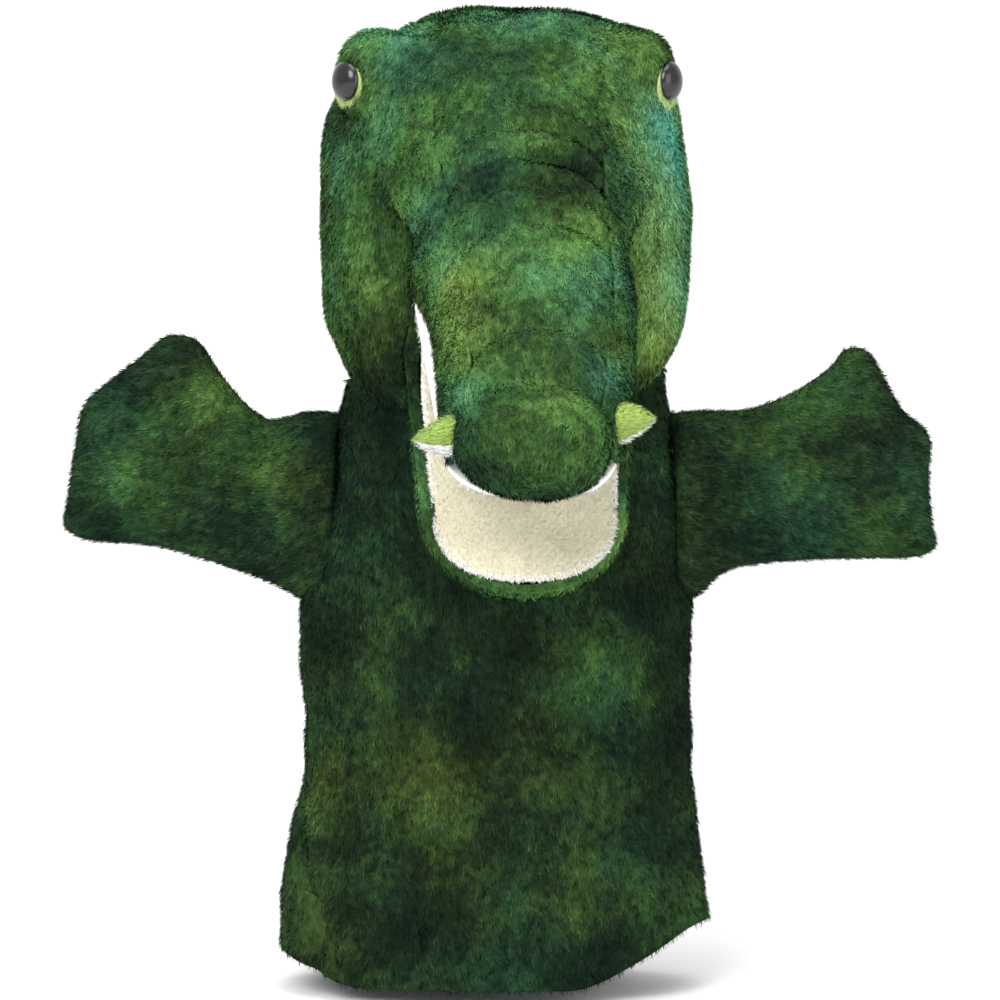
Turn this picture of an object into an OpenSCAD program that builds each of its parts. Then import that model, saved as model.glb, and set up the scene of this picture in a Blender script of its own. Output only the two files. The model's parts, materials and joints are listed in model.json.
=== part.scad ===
// Crocodile hand puppet with a mouth that opens. Millimetres, +Z up, -Y is the front.
// The origin is the middle of the opening at the hem, where the hand goes in.
// The head's shapes are drawn looking along "forward" (f = -Y) and then turned by head_yaw.

/* [Sleeve] */
// Width of the sleeve at the hem
hem_w = 122; // [116:1:126]
// Width of the sleeve at its waist
waist_w = 110; // [108:1:112]
// Width of the sleeve at the top, where the neck starts
neck_w = 91; // [88:1:91]
// Depth of the sleeve, front to back
sleeve_d = 59; // [56:1:60]
// Height of the top of the sleeve panels
sleeve_top = 156; // [155:0.5:156]
// Thickness of plush with its pile
plush = 3; // [2.5:0.1:3.2]

/* [Arms] */
// How far out from the middle the shoulder seams lie
shoulder_x = 54; // [54:0.5:56]
// Height of the bottom of the shoulder seam
seam_low = 110; // [106:1:112]
// Height of the top of the shoulder seam
seam_high = 165; // [163:1:165]
// Thickness of a padded arm
arm_t = 16; // [14:0.5:16]

/* [Head] */
// Height of the middle of the head, which is where it turns and nods
head_z = 216; // [216:0.5:217]
// How far the head is turned to the viewer's right at rest, in degrees
head_yaw = 5; // [0:0.5:8]
// Half width of the head
head_a = 50; // [48:0.5:51]
// How far the face comes forward of the middle
head_front = 44; // [42:0.5:44]
// How far the back of the head is behind the middle
head_back = 46; // [44:0.5:46]
// How far the crown is above the middle
head_up = 61; // [58:0.5:63]
// How far the head goes down below the middle
head_down = 56; // [54:0.5:56]

/* [Snout and jaw] */
// Mouth fold: forward of the head's middle
fold_f = 45; // [44:0.5:46]
// Mouth fold: height
fold_z = 200; // [199:0.5:201]
// Slope of the palate below level, in degrees
palate_slope = 42; // [41:0.5:43]
// Slope of the lower jaw below level at rest, in degrees
jaw_slope = 62.5; // [62:0.5:63]
// Length of the snout from the mouth fold to the crease behind the nose
snout_len = 70; // [66:1:72]
// Half width of the snout at the head
snout_w = 28.7; // [28:0.1:28.7]
// Half width of the snout at the crease behind the nose
snout_end_w = 23.4; // [23:0.1:25]
// Half width of the lower jaw
jaw_w = 28.6; // [27.5:0.1:28.7]
// Length of the lower jaw from the mouth fold
jaw_len = 88; // [84:1:90]

/* [Eyes] */
// Radius of an eye's dome
eye_r = 5.5; // [5:0.1:6]

/* [Hidden] */
$fn = 48;

// Colours
GREEN = [0.16, 0.33, 0.15];
DARK_GREEN = [0.09, 0.22, 0.12];
LIME = [0.55, 0.68, 0.28];
CREAM = [0.86, 0.83, 0.70];
FILL = [0.93, 0.93, 0.90];
BOARD = [0.75, 0.72, 0.66];

// Gap between sewn pieces, and the gap where one piece turns inside another
seam = 0.3;
running = 0.6;

// Squareness of the outlines: 2 is an ellipse, more is boxier
sleeve_p = 2.3;
head_p = 3;
snout_p = 2.8;

// Radius about the head's middle that the head's underside stays inside
ball_r = 61;

// The strip down the middle of the head lies between -strip_x and strip_x
strip_x = 29;

arm_half = arm_t / 2;
// The sleeve panels end this far in front of and behind the shoulder's middle
armhole_y = arm_half + 2.5;

// ---------------------------------------------------------------- helpers

function arc_pow(v, p) = sign(v) * pow(abs(v), 2 / p);

// Point at angle t on a rounded outline with half sizes a and b
function round_pt(a, b, p, t) = [a * arc_pow(cos(t), p), b * arc_pow(sin(t), p)];

// Value at x on straight lines through the points of list, given as [x, value]
function along(list, x, i = 0) =
    x <= list[0][0] ? list[0][1] :
    i >= len(list) - 1 ? list[len(list) - 1][1] :
    x <= list[i + 1][0]
        ? list[i][1] + (list[i + 1][1] - list[i][1]) * (x - list[i][0]) / (list[i + 1][0] - list[i][0])
        : along(list, x, i + 1);

// n equal steps between two values, with both ends
function steps(from, to, n) = [for (i = [0 : n]) from + (to - from) * i / n];

// Faces of one skin of an open grid, r rows of c points that start at point k
function grid_faces(r, c, k, flip) = [
    for (i = [0 : r - 2], j = [0 : c - 2])
        let (a = k + i * c + j, b = a + 1, d = a + c, e = d + 1)
        each flip ? [[a, b, e], [a, e, d]] : [[a, e, b], [a, d, e]]
];

// Faces along an edge between the same row of points on two skins, n points apart
function edge_faces(ids, n, flip) = [
    for (i = [0 : len(ids) - 2])
        let (a = ids[i], b = ids[i + 1])
        each flip ? [[a, a + n, b + n], [a, b + n, b]] : [[a, b + n, a + n], [a, b, b + n]]
];

// A sheet between two open grids of points
module sheet(outer, inner) {
    r = len(outer);
    c = len(outer[0]);
    n = r * c;
    top = [for (j = [0 : c - 1]) j];
    bottom = [for (j = [0 : c - 1]) (r - 1) * c + j];
    left = [for (i = [0 : r - 1]) i * c];
    right = [for (i = [0 : r - 1]) i * c + c - 1];
    polyhedron(
        [for (row = outer) each row, for (row = inner) each row],
        concat(
            grid_faces(r, c, 0, false), grid_faces(r, c, n, true),
            edge_faces(top, n, false), edge_faces(bottom, n, true),
            edge_faces(left, n, true), edge_faces(right, n, false)
        )
    );
}

// Faces between closed rings of c points, r of them, that start at point k
function ring_faces(r, c, k, flip) = [
    for (i = [0 : r - 2], j = [0 : c - 1])
        let (a = k + i * c + j, b = k + i * c + (j + 1) % c, d = a + c, e = b + c)
        each flip ? [[a, b, e], [a, e, d]] : [[a, e, b], [a, d, e]]
];

// A ring-shaped wall between outer and inner closed rings
module tube(outer, inner) {
    r = len(outer);
    c = len(outer[0]);
    n = r * c;
    rim = function (k, flip) [
        for (j = [0 : c - 1])
            let (a = k + j, b = k + (j + 1) % c)
            each flip ? [[a, a + n, b + n], [a, b + n, b]] : [[a, b + n, a + n], [a, b, b + n]]
    ];
    polyhedron(
        [for (row = outer) each row, for (row = inner) each row],
        concat(
            ring_faces(r, c, 0, false), ring_faces(r, c, n, true),
            rim(0, false), rim((r - 1) * c, true)
        )
    );
}

// A solid through closed rings, with flat ends
module loft(rings) {
    r = len(rings);
    c = len(rings[0]);
    polyhedron(
        [for (row = rings) each row],
        concat(
            ring_faces(r, c, 0, false),
            [[for (j = [0 : c - 1]) j]],
            [[for (j = [0 : c - 1]) r * c - 1 - j]]
        )
    );
}

// A wall that is open at its first ring and closed past its last
module bowl(outer, inner) {
    r = len(outer);
    ri = len(inner);
    c = len(outer[0]);
    n = r * c;
    last = n + (ri - 1) * c;
    polyhedron(
        [for (row = outer) each row, for (row = inner) each row],
        concat(
            ring_faces(r, c, 0, false), ring_faces(ri, c, n, true),
            [for (j = [0 : c - 1]) let (b = (j + 1) % c) each [[j, n + b, n + j], [j, b, n + b]]],
            [[for (j = [0 : c - 1]) n - 1 - j]],
            [[for (j = [0 : c - 1]) last + j]]
        )
    );
}

// ---------------------------------------------------------------- sleeve

// Half width and half depth of the sleeve at height z
function sleeve_a(z) = along([[0, hem_w / 2], [45, waist_w / 2 + 3], [75, waist_w / 2],
    [105, waist_w / 2 + 1], [135, waist_w / 2 - 4], [sleeve_top, neck_w / 2]], z);
function sleeve_b(z) = along([[0, sleeve_d / 2 + 2], [60, sleeve_d / 2], [sleeve_top, sleeve_d / 2 - 0.5]], z);

// Angle from the side where a panel's edge lies: at the side seam, or back from the armhole
function edge_angle(z, a, b) =
    z > seam_low - 2.5 ? asin(pow(armhole_y / b, sleeve_p / 2)) : asin(pow(seam / b, sleeve_p / 2));

function sleeve_row(z, inset) =
    let (a = sleeve_a(z) - inset, b = sleeve_b(z) - inset, e = edge_angle(z, a, b))
    [for (u = steps(180 + e, 360 - e, 28)) let (p = round_pt(a, b, sleeve_p, u)) [p[0], p[1], z]];

sleeve_rows = [0, 15, 30, 45, 60, 75, 90, seam_low - 3, seam_low - 2, 122, 134, 146, sleeve_top];

module sleeve_panel(front) {
    mirror([0, front ? 0 : 1, 0])
        sheet([for (z = sleeve_rows) sleeve_row(z, 0)], [for (z = sleeve_rows) sleeve_row(z, plush)]);
}

module sleeve_front_panel() {
    color(GREEN) sleeve_panel(true);
}

module sleeve_back_panel() {
    color(DARK_GREEN) sleeve_panel(false);
}

function oval(a, b, p, z, n = 40) =
    [for (j = [0 : n - 1]) let (q = round_pt(a, b, p, 360 * j / n)) [q[0], q[1], z]];

module hem_facing() {
    facing_t = 1.2;
    gap = plush + seam;
    color(DARK_GREEN) tube(
        [for (z = [2, 13, 24]) oval(sleeve_a(z) - gap, sleeve_b(z) - gap, sleeve_p, z)],
        [for (z = [2, 13, 24]) oval(sleeve_a(z) - gap - facing_t, sleeve_b(z) - gap - facing_t, sleeve_p, z)]
    );
}

// ---------------------------------------------------------------- neck

// Height of the ball-shaped hollow that the head turns in, above a point x, y
function cup_z(x, y) = head_z - sqrt(pow(ball_r + running, 2) - x * x - y * y);

function neck_row(inset, share) =
    [for (q = oval(neck_w / 2 - inset, sleeve_d / 2 - 0.5 - inset, sleeve_p, 0, 48))
        let (low = sleeve_top + running) [q[0], q[1], low + (cup_z(q[0], q[1]) - low) * share]];

module neck_gusset() {
    color(DARK_GREEN) tube(
        [for (s = [0, 0.5, 1]) neck_row(0, s)],
        [for (s = [0, 0.5, 1]) neck_row(plush, s)]
    );
}

// ---------------------------------------------------------------- arms
// Outlines go out from the shoulder seam along the top, round the mitt and back underneath.
// Each point is [distance out from the shoulder seam, height].

left_arm_outline = [[0, seam_high], [7, 163], [12, 162], [19, 167], [26, 176], [32, 186], [41, 187],
    [46, 182], [58, 173], [65, 167], [67, 155], [69, 141], [71, 132], [65, 128], [45, 127], [31, 123],
    [13, 117], [0, seam_low]];
right_arm_outline = [[0, seam_high], [10, 165], [16, 165], [28, 169], [40, 177], [44, 183], [50, 183],
    [54, 177], [60, 165], [69, 159], [68, 145], [69, 133], [71, 126], [66, 123], [45, 123], [24, 122],
    [10, 120], [0, seam_low]];

// The padded arm, inset all round by inset, with a round edge at the shoulder seam that it swings on
module arm_body(outline, inset) {
    half = arm_half - inset;
    rotate([90, 0, 0]) linear_extrude(2 * half, center = true)
        offset(delta = -inset) polygon(outline);
    translate([0, 0, seam_low + inset]) cylinder(r = half, h = seam_high - seam_low - 2 * inset);
}

module arm_panel(outline, front) {
    reach = 100;
    middle = 148;
    difference() {
        arm_body(outline, 0);
        arm_body(outline, plush);
        translate([0, (front ? 1 : -1) * (reach - seam / 2), middle]) cube(2 * reach, center = true);
    }
}

module on_left() {
    mirror([1, 0, 0]) translate([shoulder_x, 0, 0]) children();
}

module on_right() {
    translate([shoulder_x, 0, 0]) children();
}

module left_arm_front_panel() {
    color(GREEN) on_left() arm_panel(left_arm_outline, true);
}

module left_arm_back_panel() {
    color(DARK_GREEN) on_left() arm_panel(left_arm_outline, false);
}

module left_arm_stuffing() {
    color(FILL) on_left() arm_body(left_arm_outline, plush + seam);
}

module right_arm_front_panel() {
    color(GREEN) on_right() arm_panel(right_arm_outline, true);
}

module right_arm_back_panel() {
    color(DARK_GREEN) on_right() arm_panel(right_arm_outline, false);
}

module right_arm_stuffing() {
    color(FILL) on_right() arm_body(right_arm_outline, plush + seam);
}

// ---------------------------------------------------------------- head, drawn facing straight on

module turned() {
    rotate([0, 0, head_yaw]) children();
}

// Point of the head's rounded surface at x, in direction t round the X axis: 0 is forward, 90 is up
function head_pt(x, t, inset) =
    let (
        a = head_a - inset,
        share = pow(max(0, 1 - pow(abs(x) / a, head_p)), 1 / head_p),
        b = (cos(t) > 0 ? head_front : head_back) - inset,
        c = (sin(t) > 0 ? head_up : head_down) - inset,
        p = round_pt(b * share, c * share, head_p, t),
        r = norm([x, p[0], p[1]]),
        most = ball_r - inset,
        k = sin(t) < 0 && r > most ? sqrt(most * most - x * x) / norm(p) : 1
    )
    [x, -p[0] * k, head_z + p[1] * k];

// Part of the strip down the middle of the head
module head_strip(from, to, rows, inset, thickness) {
    edge = strip_x - inset;
    xs = steps(-edge, edge, 10);
    sheet(
        [for (t = steps(from, to, rows)) [for (x = xs) head_pt(x, t, inset)]],
        [for (t = steps(from, to, rows)) [for (x = xs) head_pt(x, t, inset + thickness)]]
    );
}

module crown_panel() {
    color(GREEN) turned() head_strip(52, 128, 10, 0, plush);
}

module nape_panel() {
    color(DARK_GREEN) turned() head_strip(128.5, 244, 15, 0, plush);
}

module throat_panel() {
    color(DARK_GREEN) turned() head_strip(288, 300, 3, 0, plush);
}

module crown_stuffing() {
    pad = 11;
    color(FILL) turned() head_strip(66, 205, 12, plush + seam, pad);
}

// Rings of a cheek, from the middle strip out to the side
cheek_x = [0, 0.25, 0.5, 0.7, 0.85, 0.94, 0.985, 0.999];

function cheek_ring(x, inset) =
    [for (j = [0 : 31]) head_pt(x, -360 * j / 32, inset)];

function cheek_rings(from, inset) =
    [for (k = cheek_x) cheek_ring(from + (head_a - inset - from) * k, inset)];

module cheek_panel() {
    color(GREEN) bowl(cheek_rings(strip_x + seam, 0), cheek_rings(strip_x + seam, plush));
}

module cheek_stuffing() {
    color(FILL) loft(cheek_rings(strip_x + seam, plush + seam));
}

module right_cheek_panel() {
    turned() cheek_panel();
}

module left_cheek_panel() {
    turned() mirror([1, 0, 0]) cheek_panel();
}

module right_cheek_stuffing() {
    turned() cheek_stuffing();
}

module left_cheek_stuffing() {
    turned() mirror([1, 0, 0]) cheek_stuffing();
}

// ---------------------------------------------------------------- brows and eyes

// The brow bump's middle from the head's middle, for the right side, and its radius
brow_at = [34.5, -20, 43];
brow_r = 13;
brow_dir = brow_at / norm(brow_at);
brow_side = cross(brow_dir, [0, 0, 1]) / norm(cross(brow_dir, [0, 0, 1]));
brow_up = cross(brow_side, brow_dir);

// Distance from the head's middle to the head's surface in direction d
function head_r(d) =
    let (b = d[1] < 0 ? head_front : head_back, c = d[2] > 0 ? head_up : head_down)
    1 / pow(pow(abs(d[0]) / head_a, head_p) + pow(abs(d[1]) / b, head_p) + pow(abs(d[2]) / c, head_p), 1 / head_p);

// Distance from the head's middle to the far side of the brow bump in direction d, 0 where it misses
function bump_r(d) =
    let (m = d * brow_at, h = m * m - brow_at * brow_at + brow_r * brow_r)
    h > 0 ? m + sqrt(h) : 0;

function brow_ray(tilt, turn) =
    cos(tilt) * brow_dir + sin(tilt) * (cos(turn) * brow_side + sin(turn) * brow_up);

function brow_ring(tilt, outer) =
    [for (j = [0 : 23])
        let (
            d = brow_ray(tilt, -360 * j / 24),
            low = head_r(d) + seam,
            r = outer ? max(low + 0.4, bump_r(d)) : low
        )
        d * r + [0, 0, head_z]];

brow_tilts = [12.6, 11.4, 9.6, 7.5, 5, 2.5, 0.5];

module brow_pad() {
    color(GREEN) bowl(
        [for (t = brow_tilts) brow_ring(t, true)],
        [for (t = brow_tilts) brow_ring(t, false)]
    );
}

// The eye sits on the outer side of the brow bump and looks out to the side and a little forward
eye_dir = [0.91, -0.41, 0.05];
eye_seat = brow_at + eye_dir / norm(eye_dir) * (brow_r + seam);
felt_t = 1;

module at_eye() {
    translate([0, 0, head_z]) translate(eye_seat)
        rotate([0, acos(eye_dir[2] / norm(eye_dir)), atan2(eye_dir[1], eye_dir[0])]) children();
}

stem_r = 1.5;
stem_len = 15;
dome_h = 4;

module eye() {
    dome_r = (eye_r * eye_r + dome_h * dome_h) / (2 * dome_h);
    color([0.04, 0.04, 0.05]) at_eye() {
        intersection() {
            translate([0, 0, felt_t + dome_h - dome_r]) sphere(dome_r);
            translate([0, 0, felt_t]) cylinder(r = eye_r, h = dome_h);
        }
        translate([0, 0, -stem_len]) cylinder(r = stem_r, h = stem_len + felt_t);
    }
}

module eye_felt() {
    color(LIME) at_eye() difference() {
        cylinder(r = eye_r + 1.6, h = felt_t);
        translate([0, 0, -1]) cylinder(r = stem_r, h = felt_t + 2);
    }
}

module eye_washer() {
    washer_t = 1.2;
    color(BOARD) at_eye() translate([0, 0, -stem_len + 1]) difference() {
        cylinder(r = 4.5, h = washer_t);
        translate([0, 0, -1]) cylinder(r = stem_r, h = washer_t + 2);
    }
}

module right_brow_pad() {
    turned() brow_pad();
}

module left_brow_pad() {
    turned() mirror([1, 0, 0]) brow_pad();
}

module right_eye() {
    turned() eye();
}

module left_eye() {
    turned() mirror([1, 0, 0]) eye();
}

module right_eye_felt() {
    turned() eye_felt();
}

module left_eye_felt() {
    turned() mirror([1, 0, 0]) eye_felt();
}

module right_eye_washer() {
    turned() eye_washer();
}

module left_eye_washer() {
    turned() mirror([1, 0, 0]) eye_washer();
}

// ---------------------------------------------------------------- snout
// Snout pieces are drawn with X across, Y out from the palate plane and Z along the palate
// from the mouth fold to the nose.

module on_palate() {
    turned() translate([0, -fold_f, fold_z]) rotate([90 + palate_slope, 0, 0]) children();
}

// Thickness of the mouth linings, and of the boards behind them
mouth_gap = 1.5;
lining_t = 2;
board_t = 1.5;
board_at = mouth_gap + lining_t + seam;

// Height of the snout above the palate plane, and its half width, at station s
function snout_h(s) = 37 - 0.114 * s;
function snout_hw(s) = along([[-50, snout_w - 0.5], [0, snout_w], [25, snout_w - 1.8], [snout_len, snout_end_w]], s);

function snout_pt(s, t, inset) =
    let (p = round_pt(snout_hw(s) - inset, snout_h(s) - board_at - inset, snout_p, t))
    [p[0], board_at + p[1], s];

function snout_arc(s, from, to, n, inset) = [for (t = steps(from, to, n)) snout_pt(s, t, inset)];

// The top panel spans the arc from here to the same angle on the other side
top_from = 48;

module snout_top_panel() {
    stations = steps(-46, snout_len, 12);
    color(GREEN) on_palate() sheet(
        [for (s = stations) snout_arc(s, top_from, 180 - top_from, 12, 0)],
        [for (s = stations) snout_arc(s, top_from, 180 - top_from, 12, plush)]
    );
}

// A side panel starts at the cheek's front, which lies further back towards the forehead
side_low = -10;
side_high = -42;

function side_row(share, inset) =
    [for (t = steps(0, top_from - 1, 6))
        let (start = side_low + (side_high - side_low) * t / top_from)
        snout_pt(start + (snout_len - start) * share, t, inset)];

module snout_side() {
    color(GREEN) sheet(
        [for (share = steps(0, 1, 10)) side_row(share, 0)],
        [for (share = steps(0, 1, 10)) side_row(share, plush)]
    );
}

module right_snout_side() {
    on_palate() snout_side();
}

module left_snout_side() {
    on_palate() mirror([1, 0, 0]) snout_side();
}

// The pad above the finger pocket thins out towards the nose
module snout_padding() {
    stations = steps(-24, 56, 8);
    color(FILL) on_palate() sheet(
        [for (s = stations) snout_arc(s, 60, 120, 8, plush + seam)],
        [for (s = stations) snout_arc(s, 60, 120, 8, plush + seam + along([[-24, 7], [56, 1.6]], s))]
    );
}

// Rings of the nose, from the crease behind it to its tip
nose_len = 15;
nose_w = 20.8;
nose_h = 13.5;
nose_y = 17.4;

function nose_ring(k, inset) =
    let (grow = pow(cos(k), 0.75), a = (nose_w - inset) * grow, b = (nose_h - inset) * grow)
    [for (j = [0 : 31]) let (p = round_pt(a, b, 2.5, 360 * j / 32))
        [p[0], nose_y + p[1], snout_len + seam + (nose_len - inset) * sin(k)]];

nose_angles = [0, 15, 30, 45, 60, 72, 82];

module nose_panel() {
    color(GREEN) on_palate() bowl(
        [for (k = nose_angles) nose_ring(k, 0)],
        [for (k = nose_angles) nose_ring(k, plush)]
    );
}

module nose_stuffing() {
    color(FILL) on_palate() loft([for (k = nose_angles) nose_ring(k, plush + seam)]);
}

// Outline of a mouth lining or board: half width w0 at the fold, tapering to w1 and a round end
module mouth_outline(w0, w1, from, to) {
    tip = w1 * 0.8;
    polygon(concat(
        [[-w0, from], [w0, from]],
        [for (t = steps(0, 180, 24)) let (p = round_pt(w1, tip, 2.5, t)) [p[0], to - tip + p[1]]]
    ));
}

// A flat piece of the mouth, thick mm thick, that starts at out from the palate plane
module mouth_plate(w0, w1, from, to, out, thick) {
    translate([0, out + thick, 0]) rotate([90, 0, 0]) linear_extrude(thick) mouth_outline(w0, w1, from, to);
}

module palate_lining() {
    color(CREAM) on_palate() mouth_plate(snout_w - 1.2, snout_end_w - 1, 5, snout_len + 8, mouth_gap, lining_t);
}

module palate_board() {
    color(BOARD) on_palate() mouth_plate(21, 19, 7, snout_len - 2, board_at, board_t);
}

// Corners of a flat pocket's section, as shares of its half sizes
pocket_corners = [[1, 0.4], [0.74, 1], [-0.74, 1], [-1, 0.4], [-1, -0.4], [-0.74, -1], [0.74, -1], [1, -0.4]];

// Ring of a flat pocket; mid is the height of its middle, a and b its half sizes
function pocket_ring(s, a, b, mid) = [for (q = pocket_corners) [a * q[0], mid + b * q[1], s]];

pocket_wall = 1.2;

// A pocket open at s0, closed at s1, that tapers from [a0, b0] to [a1, b1] with its floor at y = low
module pocket(s0, s1, a0, b0, a1, b1, low) {
    bowl(
        [pocket_ring(s0, a0, b0, low + b0), pocket_ring(s1, a1, b1, low + b1)],
        [pocket_ring(s0, a0 - pocket_wall, b0 - pocket_wall, low + b0),
            pocket_ring(s1 - pocket_wall, a1 - pocket_wall, b1 - pocket_wall, low + b1)]
    );
}

pocket_low = board_at + board_t + seam;

module finger_pocket() {
    color(CREAM) on_palate() pocket(-10, 60, 20, 9.2, 16.5, 7, pocket_low);
}

module mouth_fold() {
    color(CREAM) on_palate() rotate([0, 90, 0]) cylinder(r = 3.4, h = 50, center = true);
}

// ---------------------------------------------------------------- fangs

fang_h = 11.5;
fang_r = 4.8;
fang_tip_r = 1.6;
// How far back from the crease behind the nose, and how far out from the palate plane, a fang is sewn on
fang_back = 6;
fang_out = 16;
fang_tilt = 12;

// Half of a fang: upper is the lime top, else the white underside
module fang(upper) {
    wide = 2 * fang_r;
    side = upper ? 1 : -1;
    color(upper ? LIME : [0.97, 0.97, 0.95])
        translate([snout_hw(snout_len - fang_back) + 3 * seam, fang_out, snout_len - fang_back])
        rotate([0, 90, 0]) rotate([fang_tilt, 0, 0]) intersection() {
            cylinder(r1 = fang_r, r2 = fang_tip_r, h = fang_h);
            translate([0, side * (fang_r + seam / 2), fang_h / 2]) cube([2 * wide, wide, 2 * fang_h], center = true);
        }
}

module right_fang_top() {
    on_palate() fang(true);
}

module right_fang_underside() {
    on_palate() fang(false);
}

module left_fang_top() {
    on_palate() mirror([1, 0, 0]) fang(true);
}

module left_fang_underside() {
    on_palate() mirror([1, 0, 0]) fang(false);
}

// ---------------------------------------------------------------- lower jaw
// Jaw pieces are drawn with X across, Y out from the mouth and Z along the jaw.

module on_jaw() {
    turned() translate([0, -fold_f, fold_z]) rotate([90 + jaw_slope, 0, 0]) mirror([0, 1, 0]) children();
}

// Depth and half width of the chin's trough at station s, and how they close in at its tip
tip_from = 62;
function tip_share(s) = s <= tip_from ? 1 : sqrt(1 - pow((s - tip_from) / (jaw_len + 0.5 - tip_from), 2.4));
function chin_d(s) = along([[55, 20], [80, 15], [jaw_len, 12]], s);

function chin_w(s) = along([[35, jaw_w], [tip_from, jaw_w - 1.6]], s);

function chin_arc(s, inset) =
    [for (t = steps(0, 180, 20))
        let (
            k = tip_share(s),
            a = max(1.5, chin_w(s) * k - inset),
            b = max(0.8, (chin_d(s) - board_at) * pow(k, 0.6) - inset),
            p = round_pt(a, b, snout_p, t)
        )
        [p[0], board_at + p[1], s]];

chin_stations = [20, 26, 32, 38, 46, 54, 62, 69, 75, 80, 84, 86.5, 88];

module chin_panel() {
    color(GREEN) on_jaw() sheet(
        [for (s = chin_stations) chin_arc(min(s, jaw_len), 0)],
        [for (s = chin_stations) chin_arc(min(s, jaw_len - plush), plush)]
    );
}

module mouth_floor_lining() {
    color(CREAM) on_jaw() mouth_plate(jaw_w - 1, jaw_w - 3, 5, jaw_len - 3, mouth_gap, lining_t);
}

module jaw_board() {
    color(BOARD) on_jaw() mouth_plate(20, 20, 7, jaw_len - 16, board_at, board_t);
}

thumb_end = 60;

module thumb_pocket() {
    color(CREAM) on_jaw() pocket(22, thumb_end, 15, 5.2, 13, 4.9, pocket_low);
}

// A half-round pad between the end of the thumb pocket and the jaw's tip
module jaw_tip_stuffing() {
    pad_r = 13;
    pad_t = 5;
    color(FILL) on_jaw() translate([0, pocket_low, thumb_end + seam]) intersection() {
        rotate([-90, 0, 0]) cylinder(r = pad_r, h = pad_t);
        translate([-pad_r, 0, 0]) cube([2 * pad_r, pad_t, pad_r]);
    }
}

// ---------------------------------------------------------------- draw

sleeve_front_panel();
sleeve_back_panel();
hem_facing();
neck_gusset();
left_arm_front_panel();
left_arm_back_panel();
left_arm_stuffing();
right_arm_front_panel();
right_arm_back_panel();
right_arm_stuffing();
crown_panel();
nape_panel();
throat_panel();
crown_stuffing();
left_cheek_panel();
left_cheek_stuffing();
right_cheek_panel();
right_cheek_stuffing();
left_brow_pad();
right_brow_pad();
left_eye();
right_eye();
left_eye_felt();
right_eye_felt();
left_eye_washer();
right_eye_washer();
snout_top_panel();
left_snout_side();
right_snout_side();
snout_padding();
nose_panel();
nose_stuffing();
palate_lining();
palate_board();
finger_pocket();
mouth_fold();
left_fang_top();
left_fang_underside();
right_fang_top();
right_fang_underside();
chin_panel();
mouth_floor_lining();
jaw_board();
thumb_pocket();
jaw_tip_stuffing();
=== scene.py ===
"""Crocodile hand puppet: the looks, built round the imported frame. +Z is up and -Y is the front.

Shapes are worked out in millimetres and written to meshes in metres. The head's shapes are drawn looking
along "forward" (f = -Y), and turned by YAW, the way that the mouth's joint faces.
"""
import json
import math

import bpy
import numpy as np
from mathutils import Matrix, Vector


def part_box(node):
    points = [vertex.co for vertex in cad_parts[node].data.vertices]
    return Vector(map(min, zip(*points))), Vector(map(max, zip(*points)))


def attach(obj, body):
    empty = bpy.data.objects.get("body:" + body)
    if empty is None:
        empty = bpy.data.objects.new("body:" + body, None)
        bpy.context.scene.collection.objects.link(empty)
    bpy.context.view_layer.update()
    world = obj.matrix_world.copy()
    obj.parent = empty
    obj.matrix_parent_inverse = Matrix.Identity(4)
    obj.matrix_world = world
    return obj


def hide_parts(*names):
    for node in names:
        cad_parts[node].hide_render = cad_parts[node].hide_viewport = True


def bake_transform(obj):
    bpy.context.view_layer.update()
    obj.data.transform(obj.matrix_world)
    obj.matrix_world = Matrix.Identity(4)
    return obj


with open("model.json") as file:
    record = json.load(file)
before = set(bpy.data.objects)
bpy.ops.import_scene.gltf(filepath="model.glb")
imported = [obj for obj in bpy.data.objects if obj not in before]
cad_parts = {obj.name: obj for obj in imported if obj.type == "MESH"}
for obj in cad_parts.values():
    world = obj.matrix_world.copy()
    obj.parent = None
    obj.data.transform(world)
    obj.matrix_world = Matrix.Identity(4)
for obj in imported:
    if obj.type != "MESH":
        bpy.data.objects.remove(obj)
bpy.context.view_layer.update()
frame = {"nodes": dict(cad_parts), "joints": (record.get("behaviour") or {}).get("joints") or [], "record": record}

MM = 0.001
JOINTS = {j["name"]: j for j in frame["joints"]}


def highest_corner(*names):
    """Highest corner of CAD nodes together, in millimetres."""
    return np.max([np.array(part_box(n)[1]) for n in names], 0) / MM


# ---- sizes, from the frame where it has them

HEAD_Z = JOINTS["neck_nod"]["pos_m"][2] / MM
YAW = math.atan2(JOINTS["mouth_open"]["axis"][1], JOINTS["mouth_open"]["axis"][0])
FOLD = np.array(JOINTS["mouth_open"]["pos_m"]) / MM
FOLD_F = math.hypot(FOLD[0], FOLD[1])
FOLD_Z = FOLD[2]
SHOULDER_X = JOINTS["right_arm_swing"]["pos_m"][0] / MM
_, HEM_B, SLEEVE_TOP = highest_corner("sleeve_front_panel", "sleeve_back_panel")

# How steeply the palate and the open jaw run down, and their lengths from the mouth fold
PALATE_SLOPE = math.radians(42)
JAW_SLOPE = math.radians(62.5)
SNOUT_LEN = 70
JAW_LEN = 88
BALL_R = 60.5  # the ball of the head that turns in the neck

# ---- small maths


def smooth(t):
    t = np.clip(t, 0, 1)
    return t * t * (3 - 2 * t)


def bell(distance, width):
    return np.exp(-((distance / width) ** 2))


def arc_pow(v, p):
    return np.sign(v) * np.abs(v) ** (2 / p)


def unit(v):
    return v / np.maximum(np.linalg.norm(v, axis=-1, keepdims=True), 1e-9)


def grid(down, across):
    """Every pair of a value down the rows and a value across the columns."""
    return np.meshgrid(down, across, indexing="ij")


def ring(count):
    """Angles evenly round a full turn."""
    return np.linspace(0, 2 * math.pi, count, endpoint=False)


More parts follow.
